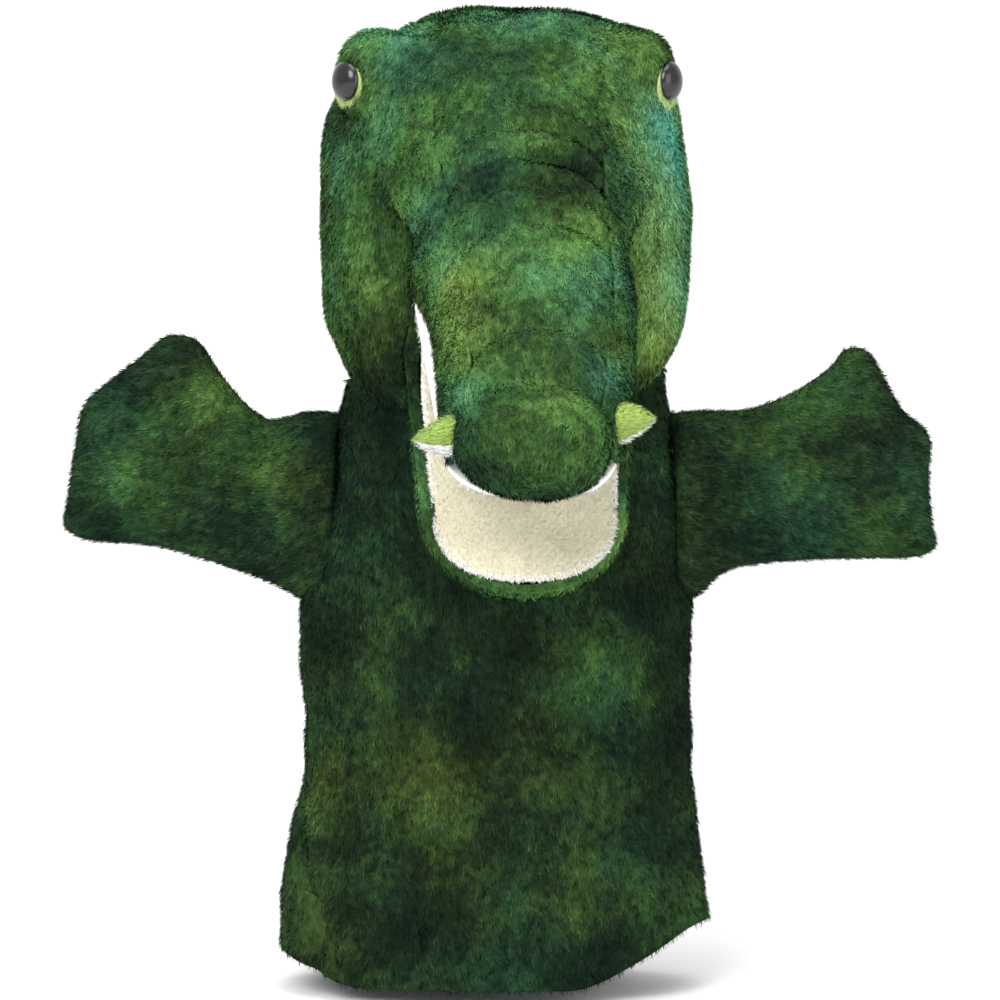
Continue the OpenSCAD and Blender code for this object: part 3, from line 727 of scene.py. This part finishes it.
def arm_grid(outline, creases, front, side, seed, tuck, reach=1, inset=0.0):
    """One face of an arm: flat at its seam, padded in the middle, with creases. A smaller reach ends it
    before the seam, and inset lays it that far below the surface."""
    tucked = [(tuck, outline[0][1] - 1)] + list(outline) + [(tuck, outline[-1][1] + 2)]
    edge = rounded_outline(tucked)
    spine_x = np.clip(edge[:, 0], tuck + 2, 50)
    spine = np.stack([spine_x, np.interp(spine_x, [-6, 50], [138, 147])], -1)
    r = np.linspace(0, reach, 34)[:, None, None]
    flat = spine[None] + (edge - spine)[None] * r
    r = r[..., 0]
    full = np.interp(flat[..., 0], [-10, -7, -3, 2, 10, 20, 55, 72], [11, 15.5, 15, 12.5, 10, 9, 8.5, 7])
    full = full - 3.5 * bell(flat[..., 0] - tuck, 2.0)
    y = full * (1 - r**3.2) ** 0.5 + 0.5
    flat3 = np.stack([flat[..., 0], 0 * y, flat[..., 1]], -1)
    inner = 1 - r**4
    y = y + (0.8 * waves(flat3, 24, seed) + 0.45 * waves(flat3, 11, seed + 1)) * inner
    for a, b, depth in creases:
        d, t = segment_distance(flat, a, b)
        y = y - depth * bell(d, 2.4) * inner * (1 - 0.6 * t)
    y = np.maximum(y, 0.35)
    if inset:
        y = np.maximum(y - inset, 0.2) * (1 - (r / reach) ** 8) ** 0.5
    p = np.stack([side * (SHOULDER_X + flat[..., 0]), (-1 if front else 1) * y, flat[..., 1]], -1)
    return facing(p, False, p * [1, 0, 1])


def arm_filling(which, side, outline, seed, tuck, where):
    """The loose stuffing between an arm's two faces."""
    sides = [arm_grid(outline, [], front, side, seed + front, tuck, FILL_REACH, FILL_INSET)
             for front in (True, False)]
    faces = grid_faces(*sides[0].shape[:2], False)
    points = np.concatenate(sides).reshape(-1, 3)
    ob = new_mesh(which + "_arm_filling", points, np.concatenate([faces, faces + len(points) // 2]))
    shade_smooth(ob)
    ob.data.materials.append(fill_white)
    place(ob, where, "fibre_fill", (which + "_arm_stuffing",))


def arm(which, side, outline, creases, seed, tuck):
    """One arm: a front and a back of plush that meet at a seam round the edge."""
    body = which + "_arm"
    where = ("torso", body, (side * (SHOULDER_X - 7), 0, 0), (side * (SHOULDER_X + 9), 0, 0))
    for front, name, slot, density in ((True, body + "_front", "green_plush", 3.2),
                                       (False, body + "_back", "dark_plush", 2.2)):
        p = arm_grid(outline, creases, front, side, seed + front, tuck)
        plush(name, p, where, constant(side, 0, -0.35), green_arms, slot, (name + "_panel",), thickness=0.7,
              fill=0.4, density=density, seed=seed + 5 + front)
    arm_filling(which, side, outline, seed, tuck, where)


arm("left", -1, LEFT_OUTLINE, LEFT_CREASES, 21, -9)
arm("right", 1, RIGHT_OUTLINE, RIGHT_CREASES, 41, -6)

# ---- head

HEAD_A, HEAD_FRONT, HEAD_BACK, HEAD_UP, HEAD_DOWN, HEAD_P = 50, 44, 46, 62.5, 56, 3
STRIP_X = 29


def crown_lean(z):
    """The head leans a little to the viewer's right, its crown most; the ball in the neck stays put."""
    return 1.6 * smooth((z - 170) / 16) + 2.6 * smooth((z - 248) / 26)


def head_point(x, t):
    """Point of the head's rounded surface at x, in direction t round the X axis: 0 is forward, 90 is up."""
    share = np.clip(1 - (np.abs(x) / HEAD_A) ** HEAD_P, 0, 1) ** (1 / HEAD_P)
    f = np.where(np.cos(t) > 0, HEAD_FRONT, HEAD_BACK) * share * arc_pow(np.cos(t), HEAD_P)
    z = np.where(np.sin(t) > 0, HEAD_UP, HEAD_DOWN) * share * arc_pow(np.sin(t), HEAD_P)
    flat = np.sqrt(f**2 + z**2)
    past_ball = (np.sin(t) < 0) & (np.sqrt(x**2 + f**2 + z**2) > BALL_R)
    k = np.where(past_ball, np.sqrt(np.maximum(BALL_R**2 - x**2, 1)) / np.maximum(flat, 1e-6), 1)
    f, z = f * k, HEAD_Z + z * k
    wide = 1 + 0.015 * bell(z - 200, 18) - 0.02 * smooth((z - 222) / 40) - 0.06 * smooth((188 - z) / 14)
    wide = wide + np.where(x < 0, 0.05, 0.01) * bell(z - 241, 17)
    return turned(x * wide + crown_lean(z), f, z)


def softened(p, wrap, seed, amount=1.0, on_ball=True):
    """The grid with soft unevenness; the part that turns in the neck stays on its ball."""
    push = amount * (1.1 * waves(p, 34, seed) + 0.55 * waves(p, 15, seed + 1))
    if on_ball:
        push = push * smooth((p[..., 2] - (HEAD_Z - 50)) / 30)
    return pushed(p, push, wrap)


HEAD_MIDDLE = np.array([0, 0, HEAD_Z])
BROW = np.array([33.7, 20.0, 42.5])
BROW_HALF = np.array([12.8, 13.0, 13.6])
BROW_P = 2.8
SNOUT_P = 2.8
SNOUT_LOW = 3.8


def snout_half_width(s):
    return np.interp(s, [-50, 0, 25, 60, SNOUT_LEN], [28.2, 28.7, 26.7, 24.2, 21.8])


def snout_half_height(s):
    return 37 - 0.114 * s - SNOUT_LOW


def snout_bend(s):
    """The snout bows a little to the viewer's right along its middle."""
    return 3.6 * bell(s - 22, 34)


def rounded_distance(q, half, power):
    """About how far q is outside a rounded box with these half sizes."""
    h = (np.abs(q / half) ** power).sum(-1) ** (1 / power)
    return np.linalg.norm(q, axis=-1) * (1 - 1 / np.maximum(h, 1e-6))


def soft_union(a, b, reach):
    h = np.clip(reach - np.abs(a - b), 0, None) / reach
    return np.minimum(a, b) - h * h * reach / 4


def head_distance(p):
    """About how far points are outside the head, brows and snout joined with soft hollows between them."""
    c, s = math.cos(YAW), math.sin(YAW)
    x = p[..., 0] * c + p[..., 1] * s
    f = p[..., 0] * s - p[..., 1] * c
    z = p[..., 2] - HEAD_Z
    skull = np.stack([x - crown_lean(p[..., 2]), f, z], -1)
    half_f = np.where(f > 0, HEAD_FRONT, HEAD_BACK)
    half_z = np.where(z > 0, HEAD_UP, HEAD_DOWN)
    half = np.stack([HEAD_A + 0 * x, half_f, half_z], -1)
    total = rounded_distance(skull, half, HEAD_P)
    for side in (-1, 1):
        brow_q = np.stack([x - side * BROW[0], f - BROW[1], z - BROW[2]], -1)
        total = soft_union(total, rounded_distance(brow_q, BROW_HALF, BROW_P), 3)
    df, dz = f - FOLD_F, p[..., 2] - FOLD_Z
    along = df * math.cos(PALATE_SLOPE) - dz * math.sin(PALATE_SLOPE)
    out = df * math.sin(PALATE_SLOPE) + dz * math.cos(PALATE_SLOPE)
    tube = np.stack([x - snout_bend(along), out - SNOUT_LOW], -1)
    size = np.stack([snout_half_width(along), snout_half_height(along)], -1)
    snout = rounded_distance(tube, size, SNOUT_P)
    snout = np.maximum(snout, np.maximum(np.maximum(SNOUT_LOW - out, along - SNOUT_LEN - 4), -42 - along))
    return soft_union(total, snout, 24 * smooth((out - 6) / 14) * smooth((along + 46) / 30) + 1)


EYE_DIR = np.array([0.84, 0.54, 0.0])
EYE_R = 5.5
EYE_SEAT = 12.4


def eye_middle(side):
    c = BROW + unit(EYE_DIR) * (EYE_SEAT + 0.5)
    return turned(side * c[0], c[1], HEAD_Z + c[2])


def seated(p):
    """Presses the plush in round each eye, so that its felt ring lies on top."""
    for side in (-1, 1):
        axis = unit(turned(side * EYE_DIR[0], EYE_DIR[1], EYE_DIR[2]))
        q = p - eye_middle(side)
        out = (q * axis).sum(-1)
        apart = np.linalg.norm(q - out[..., None] * axis, axis=-1)
        room = np.where(apart < 14, out + 0.9 - 5 * smooth((apart - 6.0) / 5), 0)
        p = p - np.clip(room, 0, 6)[..., None] * axis
    return p


def joined(p, wrap=False):
    """Pushes a grid out to the softly joined shape of the head, where it is not deep inside it."""
    n = grid_normals(p, wrap)
    for _ in range(4):
        gap = -head_distance(p)
        p = p + n * (np.clip(gap, 0, 3) * smooth((9 - gap) / 4))[..., None]
    return seated(p)


def cheek(which, side):
    """One side of the head, from the seam beside the middle strip out to its middle."""
    k, j = grid(np.linspace(0, 1, 40), ring(140))
    share = (1 - (STRIP_X / HEAD_A) ** HEAD_P) ** (1 / HEAD_P) * (1 - 0.995 * k)
    x = HEAD_A * (1 - share**HEAD_P) ** (1 / HEAD_P)
    p = facing(head_point(side * x, j), True, HEAD_MIDDLE)
    p = softened(joined(p, True), True, 60 + side)
    seam = edge_distance(p, "top") if abs(p[0, 0, 0]) < abs(p[-1, 0, 0]) else edge_distance(p, "bottom")
    p = pushed(p, -0.7 * bell(seam, 3.0), True)
    head_plush(which + "_cheek", p, constant(0.15 * side, -0.25, -1), which + "_cheek_panel", wrap=True,
               fill=0.8, density=3.0, seed=70 + side)


cheek("left", -1)
cheek("right", 1)


def strip(name, start, end, slot, lay, seed, density):
    """A panel of the middle strip over the head, between two directions in degrees."""
    t, x = grid(np.radians(np.linspace(start, end, 70)), np.linspace(-STRIP_X, STRIP_X, 50))
    p = facing(head_point(x, t), False, HEAD_MIDDLE)
    p = softened(joined(p), False, seed)
    p = rolled(p, ("left", "right"), 0.7, 3.0)
    plush(name, p, "head", lay, green_head, slot, (name + "_panel",), fill=0.8, density=density, seed=seed)


strip("crown", 62, 128, "green_plush", constant(0.1, -1, -0.4), 81, 2.3)
strip("nape", 128, 246, "dark_plush", constant(0, 0.3, -1), 83, 1.8)
strip("throat", 286, 342, "dark_plush", constant(0, 0.3, -1), 85, 1.8)

# ---- brows and eyes


def round_axis(direction):
    """The unit axis of a direction, and two more square to it."""
    axis = unit(direction)
    u = unit(np.cross(axis, [0, 0, 1.0]))
    return axis, u, np.cross(u, axis)


def brow(which, side):
    """A round padded bump that sits half in the head."""
    a, b = grid(np.linspace(0.02, 2.0, 40), ring(72))
    axis, u, v = round_axis(BROW)
    a, b = a[..., None], b[..., None]
    d = np.cos(a) * axis + np.sin(a) * (np.cos(b) * u + np.sin(b) * v)
    reach = 1 / ((np.abs(d / BROW_HALF) ** BROW_P).sum(-1) ** (1 / BROW_P))
    q = BROW + d * reach[..., None]
    p = turned(side * q[..., 0], q[..., 1], HEAD_Z + q[..., 2])
    middle = turned(side * BROW[0], BROW[1], HEAD_Z + BROW[2])
    p = joined(facing(p, True, middle), True)
    p = pushed(p, 0.6 * waves(p, 14, 90 + side), True)
    head_plush(which + "_brow", p, constant(0.5 * side, -0.6, -0.5), which + "_brow_pad", wrap=True, fill=0.8,
               density=3.0, seed=95 + side,
               keep=lambda r: np.linalg.norm(r - eye_middle(side) + [0, 0, 1.2], axis=1) > 6.4)


def around_eye(side, radius, out, angle):
    """Points round an eye's axis: radius from it, out along it."""
    axis, u, v = round_axis(EYE_DIR)
    out, radius, angle = out[..., None], radius[..., None], angle[..., None]
    q = BROW + axis * EYE_SEAT + axis * out + radius * (np.cos(angle) * u + np.sin(angle) * v)
    return turned(side * q[..., 0], q[..., 1], HEAD_Z + q[..., 2])


def eye(which, side):
    """A black dome with a rolled edge on its stem, and the felt ring round it."""
    profile = [(0.01, 4.2)]
    profile += [(EYE_R * math.sin(t), 1 + 3.2 * math.cos(t)) for t in np.linspace(0.08, 1.45, 18)]
    profile += [(EYE_R, 1.25), (EYE_R * 0.985, 0.95), (EYE_R * 0.93, 0.8)]
    profile += [(1.6, 0.8), (1.5, -13.8), (0.01, -14)]
    r, a = grid([q[0] for q in profile], ring(64))
    o, _ = grid([q[1] for q in profile], ring(64))
    p = facing(around_eye(side, r, o, a), True, eye_middle(side))
    ob = new_mesh(which + "_eye_dome", p.reshape(-1, 3), grid_faces(*p.shape[:2], True))
    shade_smooth(ob)
    ob.data.materials.append(eye_black)
    place(ob, "head", "eye_black", (which + "_eye",))
    r, a = grid([2.0, 3.8, 5.0, 5.6, 6.1], ring(64))
    lift = 0.75 + 0.2 * waves(np.stack([6 * np.cos(a), 6 * np.sin(a), r], -1), 6, 5) - 0.12 * (r - 5).clip(0)
    p = facing(around_eye(side, r, lift, a) - [0, 0, 1.6], True, HEAD_MIDDLE)
    felt = skin(which + "_eye_ring", p, True, 0.9, felt_lime)
    place(felt, "head", "lime_plush", (which + "_eye_felt",))
    nap = pile(felt, which + "_eye_ring_nap", lambda q: unit(q - eye_middle(side)), felt_lime, density=9,
               length=1.3, width=0.16, lift=0.6, clump=0.8, seed=99 + side,
               keep=lambda q: np.linalg.norm(q - eye_middle(side), axis=1) > 4.8)
    place(nap, "head", "lime_plush")


for which_side, sign in (("left", -1), ("right", 1)):
    brow(which_side, sign)
    eye(which_side, sign)

# ---- snout


def snout_point(s, t):
    x = snout_bend(s) + snout_half_width(s) * arc_pow(np.cos(t), SNOUT_P)
    return on_palate(x, SNOUT_LOW + snout_half_height(s) * arc_pow(np.sin(t), SNOUT_P), s)


# Creases across the snout: place along it, depth, width, and how strong they are left and right
SNOUT_CREASES = [(-32, 0.9, 2.6, 0.5, 1.0), (-22, 1.3, 2.4, 0.6, 1.2), (-12, 1.8, 2.8, 0.5, 1.5),
                 (-1, 1.3, 2.6, 0.8, 1.1), (10, 1.2, 3.0, 0.9, 1.0), (22, 0.7, 3.4, 0.8, 0.6),
                 (46, 1.8, 3.4, 1.1, 0.9), (64, 1.1, 2.6, 1.0, 1.0)]


def creased(p, s, across):
    """Presses the snout's arched creases into a grid; across runs from -1 to 1."""
    push = np.zeros(p.shape[:2])
    for at, depth, width, left, right in SNOUT_CREASES:
        line = at + 7 * across**2 - 2.5
        push -= depth * np.where(across < 0, left, right) * bell(s - line, width)
        push += 0.45 * depth * bell(s - line - 5.0, 4.0)
    return pushed(p, push)


TOP_FROM = math.radians(48)
SNOUT_INSIDE = on_palate(0, 15, 20)
snout_lay = constant(*(on_palate(0, 0, 1) - on_palate(0, 0, 0)))
jaw_lay = constant(*(on_jaw(0, 0, 1) - on_jaw(0, 0, 0)))


def snout_top():
    """The panel from the crown down to the nose: it leaves the head's surface and becomes the snout's."""
    s, t = grid(np.linspace(-68, SNOUT_LEN, 170), np.linspace(TOP_FROM, math.pi - TOP_FROM, 60))
    across = np.cos(t) / math.cos(TOP_FROM)
    back = np.clip((-38 - s) / 30, 0, 1)
    crown_part = head_point(across * STRIP_X, np.radians(46 + 26 * back))
    p = snout_point(s, t) * (1 - smooth(back)[..., None]) + crown_part * smooth(back)[..., None]
    if ((p - SNOUT_INSIDE) * grid_normals(p, False)).sum() < 0:
        p, s, across = p[:, ::-1], s[:, ::-1], across[:, ::-1]
    p = creased(joined(p), s, across)
    p = softened(p, False, 103, 0.8, False)
    p = rolled(p, ("bottom",), 3.0, 3.0)
    p = rolled(p, ("left", "right"), 0.3, 2.2)
    head_plush("snout_top", p, snout_lay, "snout_top_panel", fill=0.8, density=3.4, seed=105)


def snout_side(which, side):
    """The snout's side, from its top panel down round the mouth's edge; the left one bulges at the corner."""
    share, t = grid(np.linspace(0, 1, 110), np.linspace(-0.35, TOP_FROM, 40))
    start = -20 - 40 * np.maximum(t, 0) / TOP_FROM
    end = SNOUT_LEN - 6 * smooth((0.15 - t) / 0.4)
    s = start + (end - start) * share
    under = np.minimum(t, 0) / 0.35 * (2.6 + 8 * smooth((4 - s) / 12))
    above = np.maximum(t, 0)
    p = snout_point(s, above if side > 0 else math.pi - above)
    p = p + under[..., None] * (on_palate(0.0, 1.0, 0.0) - on_palate(0.0, 0.0, 0.0))
    if side < 0:
        flare = 3.4 * smooth((22 - s) / 20) * smooth((s + 8) / 8) * (1 - above / TOP_FROM)
        p = p - flare[..., None] * turned(1.0, 0.0, 0.0)
    p = joined(facing(p, False, SNOUT_INSIDE))
    p = softened(p, False, 107 + side, 0.7, False)
    p = rolled(p, ("left", "right"), 0.3, 2.2)
    name = which + "_snout_side"
    head_plush(name + "_skin", p, snout_lay, name, fill=0.8, density=3.2, seed=109 + side)


def nose():
    """The padded end of the snout."""
    k, j = grid(np.radians(np.linspace(-14, 89.9, 60)), ring(120))
    grow = np.cos(k) ** 0.72
    a, b = 20.9 * grow, 14.4 * grow
    s = SNOUT_LEN + 1.5 + 15.5 * np.sin(k)
    p = on_palate(-1.2 + a * arc_pow(np.cos(j), 2.4), 17.6 + b * arc_pow(np.sin(j), 2.4), s)
    p = facing(p, True, on_palate(0, 17, SNOUT_LEN + 2))
    p = softened(p, True, 111, 0.6, False)
    head_plush("nose", p, snout_lay, "nose_panel", wrap=True, fill=0.9, density=3.4, seed=113)


snout_top()
snout_side("left", -1)
snout_side("right", 1)
nose()

# ---- mouth linings


def mouth_half_width(s, w, to):
    """Half width of a mouth piece w wide at station s, with a round end at to."""
    tip = w * 0.8
    share = np.clip((s - (to - tip)) / tip, 0, 1)
    return w * (1 - share**2.5) ** 0.4


def cloth_weave(x, s):
    return 0.12 * np.sin(x * 2.6) * np.sin(s * 2.3)


def palate():
    s, u = grid(np.linspace(3.5, SNOUT_LEN + 7.6, 80), np.linspace(-1, 1, 50))
    w = np.interp(s, [0, SNOUT_LEN], [28.2, 23.0])
    half = mouth_half_width(s, w, SNOUT_LEN + 8)
    out = 1.3 + 0.3 * waves(np.stack([u * half, s, 0 * s], -1), 18, 121)
    p = on_palate(u * half, out, s)
    p = facing(p, False, on_palate(0, 20, 30))
    base = place(skin("palate_cloth", p, False, 1.4, white_pile), "head", "cream_lining", ("palate_lining",))
    nap = pile(base, "palate_nap", snout_lay, white_pile, density=5.0, length=1.8, width=0.2, seed=123)
    place(nap, "head", "cream_lining")


def jaw_places(q):
    """Across, out and along the jaw of points in the row frame."""
    zero = on_jaw(0, 0, 0)
    axes = [on_jaw(*row) - zero for row in np.eye(3)]
    return [(q - zero) @ axis for axis in axes]


FLOOR_END = JAW_LEN - 3.6


def floor_half(s):
    return mouth_half_width(s, np.interp(s, [0, 8, 30, 60], [21.5, 25.5, 26.2, 25.0]), FLOOR_END)


def floor_height(u, s):
    """How far the jaw's lining stands up towards the mouth: a shallow trough with raised sides and tip."""
    sides = np.abs(u) ** 3
    tip = smooth((s - (FLOOR_END - 18)) / 18)
    return 1.6 - 2.6 * (sides * (1 - tip) + 0.9 * tip) * smooth((s - 2) / 16)


def mouth_floor():
    s, u = grid(1 - (1 - np.linspace(0, 1, 130)) ** 1.8, np.linspace(-1, 1, 80))
    s = 1.5 + (FLOOR_END - 1.51) * s
    half = floor_half(s)
    x = u * half
    out = floor_height(u, s) + 0.35 * waves(np.stack([x, s, 0 * s], -1), 20, 131)
    out = out + 0.5 * bell(x - 0.5, 1.0) + 0.4 * bell(s - 52 - 0.02 * x**2, 1.5) + cloth_weave(x, s)
    p = on_jaw(x, out, s)
    p = facing(p, False, on_jaw(0, 12, 40))
    base = skin("mouth_floor_cloth", p, False, 1.4, cream)
    place(base, "lower_jaw", "cream_lining", ("mouth_floor_lining",))

    def inner(q):
        a, _, b = jaw_places(q)
        return (floor_half(b + 1.6) - np.abs(a) > 1.5) & (b < FLOOR_END - 1.8)

    nap = pile(base, "mouth_floor_nap", jaw_lay, cream, density=9, length=0.9, width=0.16, clump=0.7,
               seed=133, keep=inner)
    place(nap, "lower_jaw", "cream_lining")
    rim = pile(base, "mouth_rim_nap", lambda q: unit(q - on_jaw(0, 3, 45)), white_pile, density=14,
               length=1.1, width=0.26, lift=0.4, clump=0.6, seed=135, keep=lambda q: ~inner(q))
    place(rim, "lower_jaw", "white_plush")


def mouth_fold():
    """The roll of cream cloth at the back of the mouth, round the jaw's turning line."""
    x, a = grid(np.linspace(-25, 25, 50), ring(40))
    r = 3.3 * (1 - np.clip(np.abs(x) / 25.5, 0, 1) ** 8) + 0.25 * np.sin(x / 2.3)
    p = turned(x, FOLD_F + r * np.cos(a), FOLD_Z + r * np.sin(a))
    p = facing(p, True, turned(x, FOLD_F + 0 * x, FOLD_Z + 0 * x))
    place(skin("mouth_fold_cloth", p, True, 0.8, cream), "head", "cream_lining", ("mouth_fold",))


palate()
mouth_floor()
mouth_fold()

# ---- chin


CHIN_START = -4
CHIN_END = JAW_LEN + 0.6
CHIN_P = 2.8


def chin():
    """The jaw's outside: a trough from rim to rim that closes at its tip, and runs up under the head."""
    s, t = grid(np.linspace(0, 1, 120), np.linspace(-0.12, 1.12, 100) * math.pi)
    s = CHIN_START + (CHIN_END - CHIN_START) * (1 - (1 - s) ** 1.4)
    share = np.clip((s - 62) / (CHIN_END - 62), 0, 1)
    close = np.sqrt(np.maximum(1 - share**2.4, 0.0004))
    deep = np.interp(s, [-4, 20, 55, 80, JAW_LEN], [12, 19.5, 20, 15, 12])
    half = np.interp(s, [-4, 3, 15, 30, 45, 62], [25, 28, 30.6, 30.4, 29.3, 27.6]) * close
    rim = 3.0 - 4.2 * smooth((s - 8) / 18)
    tc = np.clip(t, 0, math.pi)
    x = half * arc_pow(np.cos(tc), CHIN_P)
    out = rim + (deep - rim) * close**0.6 * arc_pow(np.sin(tc), CHIN_P)
    over = np.maximum(np.abs(t - math.pi / 2) - math.pi / 2, 0)  # the lip, past the rim on either side
    x = x - np.sign(x) * np.minimum(over * (9 + 5 * smooth((22 - s) / 12)), np.abs(x) * 0.95)
    s = s - over * 8 * share**3
    out = out + 3.0 * over
    p = on_jaw(x, out, s)
    p = facing(p, False, on_jaw(0, 4, 40))
    p = pushed(p, 0.7 * waves(p, 22, 141) * smooth((s - 4) / 20) * close)
    where = ("head", "lower_jaw", on_jaw(0, 10, -2), on_jaw(0, 10, 22))
    plush("chin", p, where, jaw_lay, green_head, "green_plush", ("chin_panel",), fill=0.5, density=3.2,
          seed=143)


chin()

# ---- fangs


# By side: how far out of the palate and how far along it, how much the tip rises, and the seam's roll
FANGS = {-1: (13.6, SNOUT_LEN - 3.6, -2.0, 0.25), 1: (15.6, SNOUT_LEN - 5.6, 1.6, -0.35)}


def fang(which, side):
    """A small padded cone beside the nose, lime above and white below."""
    middle_out, middle_s, rise, roll = FANGS[side]
    k, a = grid(np.linspace(0, 1, 26), np.linspace(0, math.pi, 30))
    x = side * (snout_half_width(SNOUT_LEN - 6.0) - 2.4 + 10.2 * k)
    r = 5.0 * np.maximum(1 - k**1.7, 0) ** 0.75 + 0.15
    lay = constant(*turned(side, 0, 0))
    for upper, part, material, slot in ((True, "top", lime_pile, "lime_plush"),
                                        (False, "underside", white_pile, "white_plush")):
        angle = a + roll if upper else roll - a
        out = middle_out + r * np.sin(angle) + k * rise
        p = on_palate(x, out, middle_s + 0.95 * r * np.cos(angle))
        p = facing(p, False, on_palate(x, middle_out + k * rise, middle_s + 0 * x))
        p = pushed(p, 0.2 * waves(p, 6, 151 + side))
        name = f"{which}_fang_{part}"
        plush(name + "_skin", p, "head", lay, material, slot, (name,), thickness=0.8, fill=0.8, density=7,
              length=1.9, width=0.2, lift=0.5, seed=153 + side + upper)


fang("left", -1)
fang("right", 1)

# ---- what stays from the frame

INNER = {"fibre_fill": fill_white, "stiffener": board_grey, "washer_plastic": washer_grey,
         "cream_lining": lining_cloth}
SLOT_OF = {s["node"]: s["material_slot"] for s in frame["record"]["subparts"]}
for node_name, ob in frame["nodes"].items():
    finish = INNER.get(SLOT_OF[node_name])
    if finish:
        ob.data.materials.clear()
        ob.data.materials.append(finish)

# ---- floor, lights and camera


def studio_material():
    n = Nodes("studio_paper")
    at = n.add("TexCoord").outputs["Object"]
    grain = n.noise(at, 3.0, 4.0)
    return n.out(n.ramp(grain, [(0.2, rgb(0.86, 0.86, 0.86)), (0.8, rgb(0.9, 0.9, 0.9))]), 0.9)


def studio():
    """A sheet of pale paper that curves up behind the puppet."""
    turn = np.linspace(0, math.pi / 2, 24)[1:]
    y = np.concatenate([[-9000, 900], 900 + 700 * np.sin(turn), [1600]])
    z = np.concatenate([[0, 0], 700 - 700 * np.cos(turn), [4000]]) - 1.0
    x, row = grid([-9000, 9000], np.arange(len(y)))
    p = np.stack([x, y[row], z[row]], -1)
    ob = new_mesh("studio_floor", p.reshape(-1, 3), grid_faces(*p.shape[:2], False))
    shade_smooth(ob)
    ob.data.materials.append(studio_material())


def area_light(name, place_m, aim_m, size, power):
    data = bpy.data.lights.new(name, "AREA")
    data.shape = "RECTANGLE"
    data.size = data.size_y = size
    data.energy = power
    ob = new_object(name, data)
    ob.location = place_m
    way = np.array(aim_m) - np.array(place_m)
    ob.rotation_euler = Vector(way).to_track_quat("-Z", "Y").to_euler()


def lights():
    area_light("key", (-0.7, -1.5, 1.3), (0, 0, 0.15), 1.1, 34)
    area_light("fill", (1.2, -1.3, 0.5), (0, 0, 0.15), 1.4, 14)
    area_light("top", (0.1, -0.2, 1.8), (0, 0, 0.2), 1.2, 16)
    world = bpy.data.worlds.new("studio_air")
    bpy.context.scene.world = world
    world.use_nodes = True
    world.node_tree.nodes["Background"].inputs["Color"].default_value = (1, 1, 1, 1)
    world.node_tree.nodes["Background"].inputs["Strength"].default_value = 0.75


CAMERA_FAR = 1300
FRAME_WIDTH = 285.5
AIM_Z = 139.5


def camera():
    data = bpy.data.cameras.new("camera")
    data.sensor_width = 36
    data.lens = data.sensor_width * CAMERA_FAR / FRAME_WIDTH
    data.clip_end = 20
    ob = new_object("camera", data)
    tilt = math.radians(5)
    ob.location = (0, -CAMERA_FAR * MM * math.cos(tilt), (AIM_Z + CAMERA_FAR * math.sin(tilt)) * MM)
    ob.rotation_euler = (math.pi / 2 - tilt, 0, 0)
    bpy.context.scene.camera = ob


studio()
lights()
camera()
bpy.context.scene.view_settings.view_transform = "Standard"
